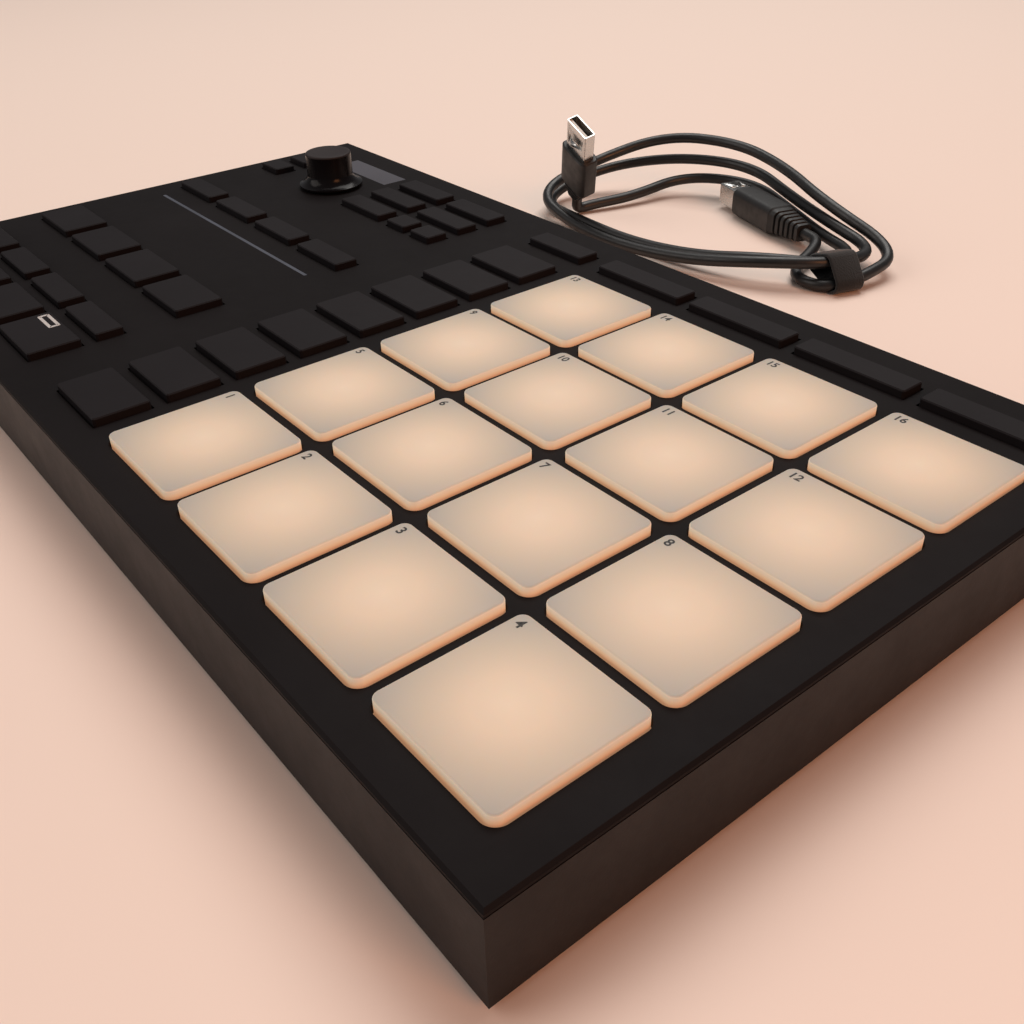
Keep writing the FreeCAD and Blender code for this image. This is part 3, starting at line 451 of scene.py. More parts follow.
# %% [markdown]
# Silicone for pads is clear rubber with a little white in it, so light goes some way in. There is
# no lamp under the pads, so that light is painted: the middle of each pad is painted warm, as if lit
# from below, and the edges cooler and greyer, and the low walls get a painted orange glow, an
# emission that stands in for light let out again from inside. The pattern is the same on every
# pad, so it is read from the place on the pad grid. The dusty skin is drawn 0.6 mm coarse, so that it
# shows.

# %% Silicone
PAD_PITCH = 36 * MM
PAD_GRID = Vector((pad_low.x + FLANGE_WIDTH, pad_low.y + FLANGE_WIDTH, 0))
TOP_REACH = 0.7 * PAD_SIDE
# painted light: the top runs from a warm middle, painted as if lit from below, to cooler grey edges
TOP_PAINTED_GLOW_COLOURS = [(0.0, "#E9D6BF"), (0.3, "#E2CEB7"), (0.6, "#CDBFAC"), (1.0, "#ACA9A2")]
# painted light: the walls run from pale at the top to orange at the foot, a painted glow
WALL_PAINTED_GLOW_COLOURS = [(0.0, "#D5C6B2"), (0.35, "#D8C5AC"), (0.7, "#DEB893"), (1.0, "#D6A078")]
# emission strengths of the painted glow, faint on the top and stronger on the walls
TOP_PAINTED_GLOW = 0.03
WALL_PAINTED_GLOW = 0.45
WALL_START = PANEL_TOP + PAD_RISE - 0.02 * MM
WALL_END = PANEL_TOP - 0.2 * MM
WALL_BLEND = 0.12


def ramp(tree, value, stops):
    """A colour ramp with stops as position and hex colour."""
    node = add(tree, "ValToRGB", {}, {"Fac": value})
    elements = node.color_ramp.elements
    while len(elements) < len(stops):
        elements.new(0.5)
    for element, (position, colour) in zip(elements, stops):
        element.position = position
        element.color = linear(colour)
    return node.outputs["Color"]


def object_place(tree):
    """The place on the object, in metres."""
    return add(tree, "TexCoord", {}, {}).outputs["Object"]


def silicone():
    """Cast silicone rubber: milky, soft sheen, a fine dusty skin from handling, a painted warm middle and a
    painted glow on the walls.
    """
    material, tree, shader = finish("cast_silicone", "#E2C9AC", 0.5, {
        "IOR": 1.41, "Subsurface Weight": 0.35, "Subsurface Scale": 2 * MM,
        "Subsurface Radius": (1.0, 0.55, 0.3), "Specular IOR Level": 0.3})
    place = object_place(tree)
    on_grid = add(tree, "VectorMath", {"operation": "SUBTRACT"}, {0: place, 1: PAD_GRID})
    on_pad = add(tree, "VectorMath", {"operation": "MODULO"},
                 {0: on_grid.outputs[0], 1: (PAD_PITCH, PAD_PITCH, 1)})
    flat = add(tree, "VectorMath", {"operation": "MULTIPLY"}, {0: on_pad.outputs[0], 1: (1, 1, 0)})
    from_middle = add(tree, "VectorMath", {"operation": "DISTANCE"},
                      {0: flat.outputs[0], 1: (PAD_SIDE / 2, PAD_SIDE / 2, 0)})
    outward = add(tree, "Math", {"operation": "DIVIDE"}, {0: from_middle.outputs["Value"], 1: TOP_REACH})
    top_painted_glow_colour = ramp(tree, outward.outputs[0], TOP_PAINTED_GLOW_COLOURS)
    height = add(tree, "SeparateXYZ", {}, {0: place}).outputs["Z"]
    down = add(tree, "MapRange", {}, {"Value": height, "From Min": WALL_START, "From Max": WALL_END})
    wall_painted_glow_colour = ramp(tree, down.outputs["Result"], WALL_PAINTED_GLOW_COLOURS)
    on_wall = add(tree, "MapRange", {}, {"Value": down.outputs["Result"], "From Max": WALL_BLEND})
    # the painted warm middle and the painted wall glow, used both as base colour and as emission colour
    warm = add(tree, "Mix", {"data_type": "RGBA"}, {
        "Factor": on_wall.outputs["Result"], 6: top_painted_glow_colour, 7: wall_painted_glow_colour})
    tree.links.new(warm.outputs[2], shader.inputs["Base Color"])
    tree.links.new(warm.outputs[2], shader.inputs["Emission Color"])
    # painted glow: the pad emits its own colour, though it is no lamp
    glow = add(tree, "MapRange", {}, {
        "Value": on_wall.outputs["Result"], "To Min": TOP_PAINTED_GLOW, "To Max": WALL_PAINTED_GLOW})
    tree.links.new(glow.outputs["Result"], shader.inputs["Emission Strength"])
    skin = add(tree, "TexNoise", {}, {"Vector": place, "Scale": 1 / (0.6 * MM), "Detail": 3.0})
    bump = add(tree, "Bump", {}, {"Height": skin.outputs["Fac"], "Distance": 0.01 * MM, "Strength": 0.5})
    tree.links.new(bump.outputs["Normal"], shader.inputs["Normal"])
    return material


pad_silicone = silicone()
for node, piece in pads.items():
    dress(piece, node, pad_silicone)
print("finish:", pad_silicone.name)

# %% [markdown]
# Each pad carries its number at its back left corner, printed in dark ink. Print has no
# thickness that one can see, but a flat letter in the pad's own surface would flicker, so the
# text is made a thin mesh that stands a few hundredths of a millimetre proud.

# %% Pad numbers
NUMBER_SIZE = 3.2 * MM
NUMBER_THICK = 0.02 * MM
NUMBER_BOLD = 0.06 * MM
NUMBER_INSET = Vector((1.5 * MM, 3.8 * MM, 0))


def print_number(index):
    """The number of a pad, as a thin mesh on its top."""
    low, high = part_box(f"pad_{index}")
    corner = Vector((low[0] + FLANGE_WIDTH, high[1] - FLANGE_WIDTH, high[2]))
    bpy.ops.object.select_all(action="DESELECT")
    place = (corner.x + NUMBER_INSET.x, corner.y - NUMBER_INSET.y, corner.z + NUMBER_THICK / 2)
    bpy.ops.object.text_add(location=place)
    piece = bpy.context.object
    piece.name = f"pad_number_{index}"
    piece.data.body = str(index)
    piece.data.size = NUMBER_SIZE
    piece.data.extrude = NUMBER_THICK
    piece.data.offset = NUMBER_BOLD
    piece.data.resolution_u = 4
    bpy.ops.object.convert(target="MESH")
    bpy.ops.object.transform_apply(location=True, rotation=True, scale=True)
    piece.data.name = piece.name
    return piece


def ink():
    """Screen print ink: matte and nearly black."""
    material, tree, shader = finish("print_ink", "#1C1714", 0.6)
    noise = add(tree, "TexNoise", {}, {"Vector": object_place(tree), "Scale": 1 / (0.3 * MM)})
    worn = ramp(tree, noise.outputs["Fac"], [(0.3, "#1A1512"), (0.8, "#2B231E")])
    tree.links.new(worn, shader.inputs["Base Color"])
    return material


print_ink = ink()
for index in range(1, PAD_COUNT + 1):
    number = print_number(index)
    number.data.materials.append(print_ink)
    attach(number, f"pad_{index}")
print("numbers:", PAD_COUNT)

# %% [markdown]
# The knob is a turned form: a flared skirt, a straight body with a rounded edge and a shallow
# dish in its top. One disc is extruded ring by ring, each ring resized to the next radius, as a
# lathe would leave it. Feet and screw heads are turned forms as well, so the lathe is a helper.

# %% Turned pieces
RING_COUNT = 96


def turn_piece(name, centre, rings, count=RING_COUNT):
    """A closed turned form from rings of radius and height, from its low end up."""
    bpy.ops.object.select_all(action="DESELECT")
    radius, height = rings[0]
    bpy.ops.mesh.primitive_circle_add(vertices=count, radius=radius, fill_type="NGON",
                                      location=(centre[0], centre[1], height))
    piece = start_piece(name)
    middle = (centre[0], centre[1], 0)
    for next_radius, next_height in rings[1:]:
        extrude_scaled(next_height - height, next_radius / radius, next_radius / radius, middle)
        radius, height = next_radius, next_height
    bpy.ops.mesh.select_all(action="SELECT")
    bpy.ops.mesh.normals_make_consistent(inside=False)
    return settle(piece)


def arc_rings(start, end, middle, steps):
    """Rings along a quarter curve between two rings, bowed towards a middle ring."""
    rings = []
    for step in range(1, steps + 1):
        share = step / steps
        rest = 1 - share
        rings.append(tuple(
            rest * rest * start[way] + 2 * rest * share * middle[way] + share * share * end[way]
            for way in (0, 1)))
    return rings


print("points in a turned ring:", RING_COUNT)

# %% [markdown]
# The knob's section starts at the end of its bore, runs down and out under the skirt, and goes
# up the flare and the straight side to the dish. It is moulded in black ABS. Its side comes from
# a polished part of the mould and its top from a spark eroded one, so the gloss changes with the
# height. The top is also painted a lighter grey than the side, a painted highlight for light
# falling from above.

# %% Knob
KNOB_SKIRT = 11.3 * MM
KNOB_BODY = 8.1 * MM
KNOB_BORE = 3.1 * MM
KNOB_EDGE = 0.7 * MM
KNOB_DISH = 0.5 * MM
KNOB_HIGH = 12.3 * MM
KNOB_ROOF = 2.1 * MM
KNOB_LIP = 0.7 * MM
KNOB_FLARE = 4.0 * MM
KNOB_HEM = 0.2 * MM
KNOB_LAND = 0.3 * MM
DISH_SHARES = (0.92, 0.75, 0.5, 0.25, 0.05)
SOFT_START = 0.75 * MM
SOFT_END = 0.55 * MM
knob_centre = (-115.2 * MM, 53.9 * MM)
knob_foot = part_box("knob")[0][2]
knob_crown = PANEL_TOP + KNOB_HIGH


def knob_rings():
    """The knob's section from the bore's end, down and out, and up to the dish."""
    roof = knob_crown - KNOB_ROOF
    lip = knob_foot + KNOB_LIP
    shoulder = knob_crown - KNOB_EDGE
    rings = [(0.5 * KNOB_BORE, roof), (KNOB_BORE, roof), (KNOB_BORE, knob_foot),
             (KNOB_SKIRT - KNOB_HEM, knob_foot), (KNOB_SKIRT, knob_foot + KNOB_HEM), (KNOB_SKIRT, lip)]
    rings += arc_rings((KNOB_SKIRT, lip), (KNOB_BODY, knob_foot + KNOB_FLARE),
                       (KNOB_BODY + KNOB_LIP, lip + KNOB_LIP), 8)
    rings += [(KNOB_BODY, shoulder)]
    rings += arc_rings((KNOB_BODY, shoulder), (KNOB_BODY - KNOB_EDGE, knob_crown),
                       (KNOB_BODY, knob_crown), 5)
    dish_edge = KNOB_BODY - KNOB_EDGE - KNOB_LAND
    rings += [(dish_edge, knob_crown)]
    for share in DISH_SHARES:
        rings.append((dish_edge * share, knob_crown - KNOB_DISH * (1 - share * share)))
    return rings


def knob_plastic():
    """Polished ABS on the side, spark-eroded and soft on the top, the top painted lighter as painted top
    light.
    """
    material, tree, shader = finish("knob_polished_abs", "#121012", 0.22, {
        "IOR": 1.52, "Specular IOR Level": 0.12})
    place = object_place(tree)
    height = add(tree, "SeparateXYZ", {}, {0: place}).outputs["Z"]
    on_top = add(tree, "MapRange", {}, {"Value": height, "From Min": knob_crown - SOFT_START,
                                        "From Max": knob_crown - SOFT_END})
    # painted light: the top is painted a lighter grey than the side, as if lit from above; the roughness
    # change below is the real spark-eroded finish
    soft = add(tree, "Mix", {"data_type": "RGBA"}, {
        "Factor": on_top.outputs["Result"], 6: linear("#100E10"), 7: linear("#2C2728")})
    rough = add(tree, "MapRange", {}, {"Value": on_top.outputs["Result"], "To Min": 0.2, "To Max": 0.55})
    tree.links.new(soft.outputs[2], shader.inputs["Base Color"])
    tree.links.new(rough.outputs["Result"], shader.inputs["Roughness"])
    grain = add(tree, "TexNoise", {}, {"Vector": place, "Scale": 1 / (0.4 * MM), "Detail": 2.0})
    bump = add(tree, "Bump", {}, {"Height": grain.outputs["Fac"], "Distance": 0.02 * MM, "Strength": 0.3})
    tree.links.new(bump.outputs["Normal"], shader.inputs["Normal"])
    return material


knob = turn_piece("encoder_knob", knob_centre, knob_rings())
dress(knob, "knob", knob_plastic())
print("knob faces:", len(knob.data.polygons))

# %% [markdown]
# Cover, case and keys are moulded in black ABS. The mould's surface is spark eroded, which
# gives a fine even grain of about 0.15 mm that kills reflections; it is drawn at 0.5 mm here,
# as finer grain would not show. The cover is the most matt of the three and mirrors next to
# nothing. The keys come from a smoother mould, so they are a little glossier and greyer, and
# the case has the plain shine of bare ABS. Hands leave faint duller patches, drawn as a slow
# change in roughness.

# %% Moulded plastic
GRAIN = 0.5 * MM
GRAIN_DEEP = 0.03 * MM
KEY_GRAIN = 0.7 * MM
KEY_GRAIN_DEEP = 0.01 * MM


def moulded_abs(name, colours, roughness, grain, depth, gloss):
    """Moulded ABS: a colour that drifts a little, a grain and handling marks."""
    material, tree, shader = finish(name, colours[0], roughness[0], {
        "IOR": 1.52, "Specular IOR Level": gloss})
    place = object_place(tree)
    drift = add(tree, "TexNoise", {}, {"Vector": place, "Scale": 1 / (45 * MM), "Detail": 4.0})
    colour = ramp(tree, drift.outputs["Fac"], [(0.3, colours[0]), (0.7, colours[1])])
    tree.links.new(colour, shader.inputs["Base Color"])
    hands = add(tree, "TexNoise", {}, {
        "Vector": place, "Scale": 1 / (18 * MM), "Detail": 5.0, "Roughness": 0.7})
    dull = add(tree, "MapRange", {}, {"Value": hands.outputs["Fac"], "From Min": 0.35, "From Max": 0.65,
                                      "To Min": roughness[0], "To Max": roughness[1]})
    tree.links.new(dull.outputs["Result"], shader.inputs["Roughness"])
    fine = add(tree, "TexNoise", {}, {"Vector": place, "Scale": 1 / grain, "Detail": 2.0})
    bump = add(tree, "Bump", {}, {"Height": fine.outputs["Fac"], "Distance": depth, "Strength": 0.6})
    tree.links.new(bump.outputs["Normal"], shader.inputs["Normal"])
    return material


def refinish(node, material):
    """Give a solid that keeps its own mesh its material."""
    for slot in nodes[node].material_slots:
        slot.material = material
    if not nodes[node].material_slots:
        nodes[node].data.materials.append(material)


cover_abs = moulded_abs("cover_matt_abs", ("#141112", "#191617"), (0.58, 0.64), GRAIN, GRAIN_DEEP, 0.06)
case_abs = moulded_abs("case_textured_abs", ("#141112", "#1A1718"), (0.5, 0.6), GRAIN, GRAIN_DEEP, 0.25)
key_abs = moulded_abs("key_satin_abs", ("#1A1719", "#1F1C1E"), (0.5, 0.56), KEY_GRAIN, KEY_GRAIN_DEEP, 0.08)
refinish("top_cover", cover_abs)
refinish("bottom_case", case_abs)
key_nodes = [name for name in nodes if "key" in name]
for name in key_nodes:
    refinish(name, key_abs)
print("key solids:", len(key_nodes))

# %% [markdown]
# Between the back row of keys and the third row runs the touch strip: behind the cover is a
# sensor, and what shows is a thin bluish line of printed plastic let into a groove. One front
# key has a small pale mark. It stays a plain outline here, with nothing written in it.

# %% Touch strip line and key mark
STRIP_LENGTH = 101.5 * MM
STRIP_WIDTH = 1.2 * MM
STRIP_SINK = 0.4 * MM
STRIP_PROUD = 0.02 * MM
STRIP_MIDDLE = (-96.75 * MM, 3.5 * MM)
MARK_SIZE = (9.6 * MM, 3.2 * MM)
MARK_MIDDLE = (-59.8 * MM, -67.9 * MM)
MARK_LINE = 0.9 * MM


def flat_bar(name, middle, size, low, high, corner):
    """A thin bar with round corners between two heights."""
    bpy.ops.object.select_all(action="DESELECT")
    place = (middle[0], middle[1], (low + high) / 2)
    bpy.ops.mesh.primitive_cube_add(size=1, location=place)
    piece = start_piece(name)
    bpy.ops.transform.resize(value=(size[0], size[1], high - low), center_override=place)
    pick(piece, "EDGE", upright)
    bpy.ops.mesh.bevel(offset=corner, segments=6, affect="EDGES")
    return piece


strip_line = flat_bar("touch_strip_line", STRIP_MIDDLE, (STRIP_LENGTH - 0.1 * MM, STRIP_WIDTH - 0.1 * MM),
                      PANEL_TOP - STRIP_SINK, PANEL_TOP - STRIP_PROUD, 0.4 * MM)
settle(strip_line)
strip_material, strip_tree, strip_shader = finish("printed_strip", "#41444F", 0.4)
fade = add(strip_tree, "TexNoise", {}, {"Vector": object_place(strip_tree), "Scale": 1 / (20 * MM)})
strip_tree.links.new(ramp(strip_tree, fade.outputs["Fac"], [(0.3, "#3A3D48"), (0.7, "#4A4E5A")]),
                     strip_shader.inputs["Base Color"])
strip_line.data.materials.append(strip_material)
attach(strip_line, "housing")

key_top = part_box("front_key_4")[1][2]
key_mark = flat_bar("front_key_mark", MARK_MIDDLE, MARK_SIZE, key_top, key_top + NUMBER_THICK, 0.5 * MM)
for side in (1, -1):
    pick(key_mark, "FACE", lambda face: face.normal.z * side > FACING)
    bpy.ops.mesh.inset(thickness=MARK_LINE)
    bpy.ops.mesh.delete(type="FACE")
settle(key_mark)
mark_material, mark_tree, mark_shader = finish("pale_print", "#B4AFAC", 0.6)
mark_fade = add(mark_tree, "TexNoise", {}, {"Vector": object_place(mark_tree), "Scale": 1 / (0.8 * MM)})
mark_tree.links.new(ramp(mark_tree, mark_fade.outputs["Fac"], [(0.2, "#A39D9A"), (0.6, "#C4BFBB")]),
                    mark_shader.inputs["Base Color"])
key_mark.data.materials.append(mark_material)
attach(key_mark, "front_key_4")
print("strip:", round(STRIP_LENGTH / MM, 1), "mm")

# %% [markdown]
# The display is a small liquid crystal panel, unlit and grey, behind a polished acrylic window.
# The rubber feet are soft black discs glued under the case. One is turned and three are copied,
# and then they are joined, because one solid group stands for all four.

# %% Window and feet
FOOT_RADIUS = 6.0 * MM
FOOT_EDGE = 0.5 * MM
FOOT_BEVEL = 0.15 * MM


def display_acrylic():
    """Clear cast acrylic over the grey of an unlit panel, polished, with faint wipe marks."""
    material, tree, shader = finish("display_acrylic", "#4C4B52", 0.08, {"IOR": 1.49})
    wipes = add(tree, "TexNoise", {}, {
        "Vector": object_place(tree), "Scale": 1 / (6 * MM), "Detail": 4.0})
    haze =add(tree, "MapRange", {}, {"Value": wipes.outputs["Fac"], "To Min": 0.04, "To Max": 0.16})
    tree.links.new(haze.outputs["Result"], shader.inputs["Roughness"])
    return material


def rubber():
    """Natural rubber: black, dull, a little chalky."""
    material, tree, shader = finish("foot_rubber", "#1A1A1A", 0.85)
    chalk = add(tree, "TexNoise", {}, {
        "Vector": object_place(tree), "Scale": 1 / (1.5 * MM), "Detail": 4.0})
    tree.links.new(ramp(tree, chalk.outputs["Fac"], [(0.3, "#161616"), (0.75, "#242423")]),
                   shader.inputs["Base Color"])
    return material


refinish("display_window", display_acrylic())
foot_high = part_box("rubber_feet")[1]
foot_x = foot_high[0] - FOOT_RADIUS
foot_y = foot_high[1] - FOOT_RADIUS
foot_rings = [(0.3 * FOOT_RADIUS, 0.0), (FOOT_RADIUS - FOOT_EDGE, 0.0),
              (FOOT_RADIUS - FOOT_BEVEL, FOOT_BEVEL), (FOOT_RADIUS, FOOT_EDGE), (FOOT_RADIUS, foot_high[2])]
foot_master = turn_piece("rubber_foot_discs", (foot_x, foot_y), foot_rings, 48)
foot_copies = [copy_of(foot_master, f"foot_{sx}_{sy}", ((sx - 1) * foot_x, (sy - 1) * foot_y, 0))
               for sx, sy in ((-1, -1), (1, -1), (-1, 1))]


def join_pieces(main, others):
    """Several pieces made one mesh."""
    bpy.ops.object.select_all(action="DESELECT")
    for piece in [main] + others:
        piece.select_set(True)
    bpy.context.view_layer.objects.active = main
    bpy.ops.object.join()
    return main


feet = join_pieces(foot_master, foot_copies)
dress(feet, "rubber_feet", rubber())
print("feet:", len(foot_copies) + 1)

# %% [markdown]
# Inside, and seen only through the socket and the thin gaps, are the circuit board and the
# encoder. The board is one solid, so its finishes are told apart by place: green solder mask
# on the plate, bright tin on the socket and the encoder's can, dark plastic on the switches.

# %% Board and shaft
BOARD_TOP = 16.0 * MM
BOARD_SKIN = 0.05 * MM
SOCKET_MIDDLE = Vector((-32.0 * MM, 80.1 * MM, 0))
SOCKET_REACH = 12 * MM
ENCODER_REACH = 9 * MM


def near_point(tree, place, point, radius):
    """One inside an upright cylinder round a point, and zero outside."""
    flat = add(tree, "VectorMath", {"operation": "MULTIPLY"}, {0: place, 1: (1, 1, 0)})
    away = add(tree, "VectorMath", {"operation": "DISTANCE"}, {0: flat.outputs[0], 1: point})
    return add(tree, "Math", {"operation": "LESS_THAN"}, {0: away.outputs["Value"], 1: radius}).outputs[0]


def board_finish():
    """Solder mask with tin and dark plastic where the parts are."""
    material, tree, shader = finish("solder_mask", "#12402A", 0.35)
    place = object_place(tree)
    height = add(tree, "SeparateXYZ", {}, {0: place}).outputs["Z"]
    above = add(tree, "Math", {"operation": "GREATER_THAN"}, {
        0: height, 1: BOARD_TOP + BOARD_SKIN}).outputs[0]
    on_socket = near_point(tree, place, SOCKET_MIDDLE, SOCKET_REACH)
    on_encoder = near_point(tree, place, Vector((*knob_centre, 0)), ENCODER_REACH)
    tin = add(tree, "Math", {"operation": "MAXIMUM"}, {0: on_socket, 1: on_encoder}).outputs[0]
    parts = add(tree, "Mix", {"data_type": "RGBA"}, {
        "Factor": tin, 6: linear("#1B1B1C"), 7: linear("#B9B6AE")})
    colour = add(tree, "Mix", {"data_type": "RGBA"}, {
        "Factor": above, 6: linear("#12402A"), 7: parts.outputs[2]})
    tree.links.new(colour.outputs[2], shader.inputs["Base Color"])
    metal = add(tree, "Math", {"operation": "MULTIPLY"}, {0: tin, 1: above})
    tree.links.new(metal.outputs[0], shader.inputs["Metallic"])
    return material


def brushed(name, colour, roughness, grain):
    """Metal with a fine uneven gloss, as turning, blackening or plating leaves it."""
    material, tree, shader = finish(name, colour, roughness[0], {"Metallic": 1.0})
    lines = add(tree, "TexNoise", {}, {"Vector": object_place(tree), "Scale": 1 / grain, "Detail": 3.0})
    worn = add(tree, "MapRange", {}, {
        "Value": lines.outputs["Fac"], "To Min": roughness[0], "To Max": roughness[1]})
    tree.links.new(worn.outputs["Result"], shader.inputs["Roughness"])
    return material


refinish("circuit_board", board_finish())
refinish("encoder_shaft", brushed("turned_aluminium", "#C9C9CB", (0.25, 0.4), 0.5 * MM))
print("board top:", round(BOARD_TOP / MM, 1), "mm")

# %% [markdown]
# Six screws are driven up from below and hold case, board and cover together. They are
# blackened steel, cold headed and then thread rolled, with a cross recess in the head. The
# recess is cut with two crossed blocks. Only the heads show, so the threads are left out.

# %% Screws


def cut_block(piece, middle, size):
    """Cut a block out of a piece."""
    bpy.ops.object.select_all(action="DESELECT")
    bpy.ops.mesh.primitive_cube_add(size=1, location=middle)
    block = start_piece("cutter")
    bpy.ops.transform.resize(value=size, center_override=middle)
    settle(block)
    modifier = piece.modifiers.new("cut", "BOOLEAN")
    modifier.operation = "DIFFERENCE"
    modifier.object = block
    bpy.ops.object.select_all(action="DESELECT")
    bpy.context.view_layer.objects.active = piece
    piece.select_set(True)
    bpy.ops.object.modifier_apply(modifier="cut")
    bpy.data.objects.remove(block)


SCREW_FIRST = (-154.7 * MM, -83.2 * MM)
SCREW_ROWS = (-83.2 * MM, 83.2 * MM)
SCREW_COLUMNS = (-154.7 * MM, 6.3 * MM, 154.7 * MM)
SCREW_RINGS = [(2.0, 2.4), (2.3, 2.7), (2.3, 3.9), (2.2, 4.0), (1.2, 4.0), (1.2, 19.6), (0.9, 20.0)]
RECESS_LONG = 2.6 * MM
RECESS_WIDE = 0.7 * MM
RECESS_DEEP = 1.8 * MM

screw_section = [(radius * MM, height * MM) for radius, height in SCREW_RINGS]
screw = turn_piece("cross_head_screws", SCREW_FIRST, screw_section, 32)
screw_face = SCREW_RINGS[0][1] * MM
for size in ((RECESS_LONG, RECESS_WIDE, RECESS_DEEP), (RECESS_WIDE, RECESS_LONG, RECESS_DEEP)):
    cut_block(screw, (*SCREW_FIRST, screw_face), size)
screw_copies = [copy_of(screw, f"screw_{x:.3f}_{y:.3f}", (x - SCREW_FIRST[0], y - SCREW_FIRST[1], 0))
                for x in SCREW_COLUMNS for y in SCREW_ROWS if (x, y) != SCREW_FIRST]
dress(join_pieces(screw, screw_copies), "case_screws",
      brushed("blackened_steel", "#3A3A3C", (0.3, 0.5), 0.5 * MM))
print("screws:", len(screw_copies) + 1)

# %% [markdown]
# The lead's jacket is extruded vinyl: black, satin, with the faintest ripple from the die. The
# plugs are overmoulded in the same vinyl, from a rougher mould.

# %% Jacket


def vinyl(name, colour, roughness):
    """Extruded or moulded vinyl, satin black."""
    material, tree, shader = finish(name, colour, roughness[0])
    place = object_place(tree)
    ripple = add(tree, "TexNoise", {}, {"Vector": place, "Scale": 1 / (3 * MM), "Detail": 3.0})
    gloss = add(tree, "MapRange", {}, {"Value": ripple.outputs["Fac"], "From Min": 0.3, "From Max": 0.7,
                                       "To Min": roughness[0], "To Max": roughness[1]})
    tree.links.new(gloss.outputs["Result"], shader.inputs["Roughness"])
    bump = add(tree, "Bump", {}, {"Height": ripple.outputs["Fac"], "Distance": 0.03 * MM, "Strength": 0.4})
    tree.links.new(bump.outputs["Normal"], shader.inputs["Normal"])
    return material


lead.data.materials.append(vinyl("extruded_vinyl", "#111112", (0.35, 0.48)))
print("jacket:", lead.name)

# %% [markdown]
# A plug is three things: the overmoulding that one holds, the folded steel shell, and the
# plastic tongue with the contacts in it. Each is drawn as a block whose outline is resized from
# ring to ring: ribs near the lead, so that it bends softly, then the shoulders, then the grip.
# The plug is modelled upright at the origin and then turned onto the end of the lead.

# %% Plugs
PLUG_NECK = 6.0
PLUG_ROUND = 1.4 * MM
SHELL_ROUND = 0.5 * MM
TONGUE_ROUND = 0.2 * MM
SHELL_WALL = 0.4
SHELL_HOLE = (2.2, 2.0)
SHELL_HOLE_PLACE = 0.45
SHOULDER = 0.9
RIB_SINK = 0.82
RIBBED_SHARE = 0.85
RIB_STEPS = ((0.55, 1.0), (0.6, RIB_SINK), (0.95, RIB_SINK), (1.0, 1.0))
A_PLUG_SIZES = {"relief": 5.5, "width": 15.6, "thick": 7.8, "length": 17.0, "shell_width": 12.0,
                "shell_thick": 4.5, "shell_long": 11.5, "tongue": 1.6, "ribs": 3}
B_PLUG_SIZES = {"relief": 15.0, "width": 11.4, "thick": 10.4, "length": 26.0, "shell_width": 8.4,
                "shell_thick": 7.8, "shell_long": 11.5, "tongue": 2.8, "ribs": 5}


def block_through(name, rings, corner, material):
    """A rounded block along Z through rings of width, thickness and height in millimetres."""
    bpy.ops.object.select_all(action="DESELECT")
    wide, thick, height = rings[0]
    start = (0, 0, height * MM)
    bpy.ops.mesh.primitive_plane_add(size=1, location=start)
    piece = start_piece(name)
    bpy.ops.transform.resize(value=(wide * MM, thick * MM, 1), center_override=start)
    bpy.ops.mesh.select_all(action="SELECT")
    bpy.ops.mesh.bevel(offset=corner, segments=5, affect="VERTICES")
    for next_wide, next_thick, next_height in rings[1:]:
        extrude_scaled((next_height - height) * MM, next_wide / wide, next_thick / thick, (0, 0, 0))
        wide, thick, height = next_wide, next_thick, next_height
    bpy.ops.mesh.select_all(action="SELECT")
    bpy.ops.mesh.normals_make_consistent(inside=False)
    settle(piece)
    piece.data.materials.append(material)
    return piece


def relief_rings(length, width, thick, ribs):
    """Rings of the ribbed relief, from the neck to the shoulders."""
    def envelope(share):
        return tuple(PLUG_NECK + (side - SHOULDER - PLUG_NECK) * share for side in (width, thick))

    rings = [(*envelope(0), 0.0)]
    pitch = RIBBED_SHARE / ribs
    for rib in range(ribs):
        for share, sink in RIB_STEPS:
            place = (rib + share) * pitch
            wide, deep = envelope(place)
            rings.append((wide * sink, deep * sink, place * length))
    return rings + [(*envelope(1.0), length)]


def model_plug(name, relief, width, thick, length, shell_width, shell_thick, shell_long, tongue, ribs):
    """A whole plug, upright, with the lead's end at the origin. Its sizes are in millimetres."""
    end = relief + length
    grip = relief_rings(relief, width, thick, ribs)
    grip += [(width, thick, relief + 0.6), (width, thick, end - 0.5), (width - 0.8, thick - 0.8, end)]
    mould = block_through(name, grip, PLUG_ROUND, moulding_vinyl)
    tip = end + shell_long
    bore = (shell_width - 2 * SHELL_WALL, shell_thick - 2 * SHELL_WALL)
    shell = block_through(name + "_shell", [
        (shell_width, shell_thick, end - 0.4), (shell_width, shell_thick, tip), (*bore, tip), (*bore, end)],
        SHELL_ROUND, plated_steel)
    for side in (-1, 1):
        cut_block(shell, (side * shell_width / 4 * MM, 0, (end + SHELL_HOLE_PLACE * shell_long) * MM),
                  (SHELL_HOLE[0] * MM, 2 * shell_thick * MM, SHELL_HOLE[1] * MM))
    insert = block_through(name + "_tongue", [
        (bore[0], tongue, end - 0.3), (bore[0], tongue, tip - 0.8)], TONGUE_ROUND, tongue_plastic)
    insert.data.transform(Matrix.Translation((0, (tongue - bore[1]) / 2 * MM, 0)))
    return join_pieces(mould, [shell, insert])


def turn_onto(piece, foot, axis, wide):
    """Turn an upright piece so that it points along an axis from its foot."""
    across = (wide - axis * wide.dot(axis)).normalized()
    turn = Matrix((across, axis.cross(across), axis)).transposed().to_4x4()
    piece.data.transform(Matrix.Translation(foot * MM) @ turn)
    return piece


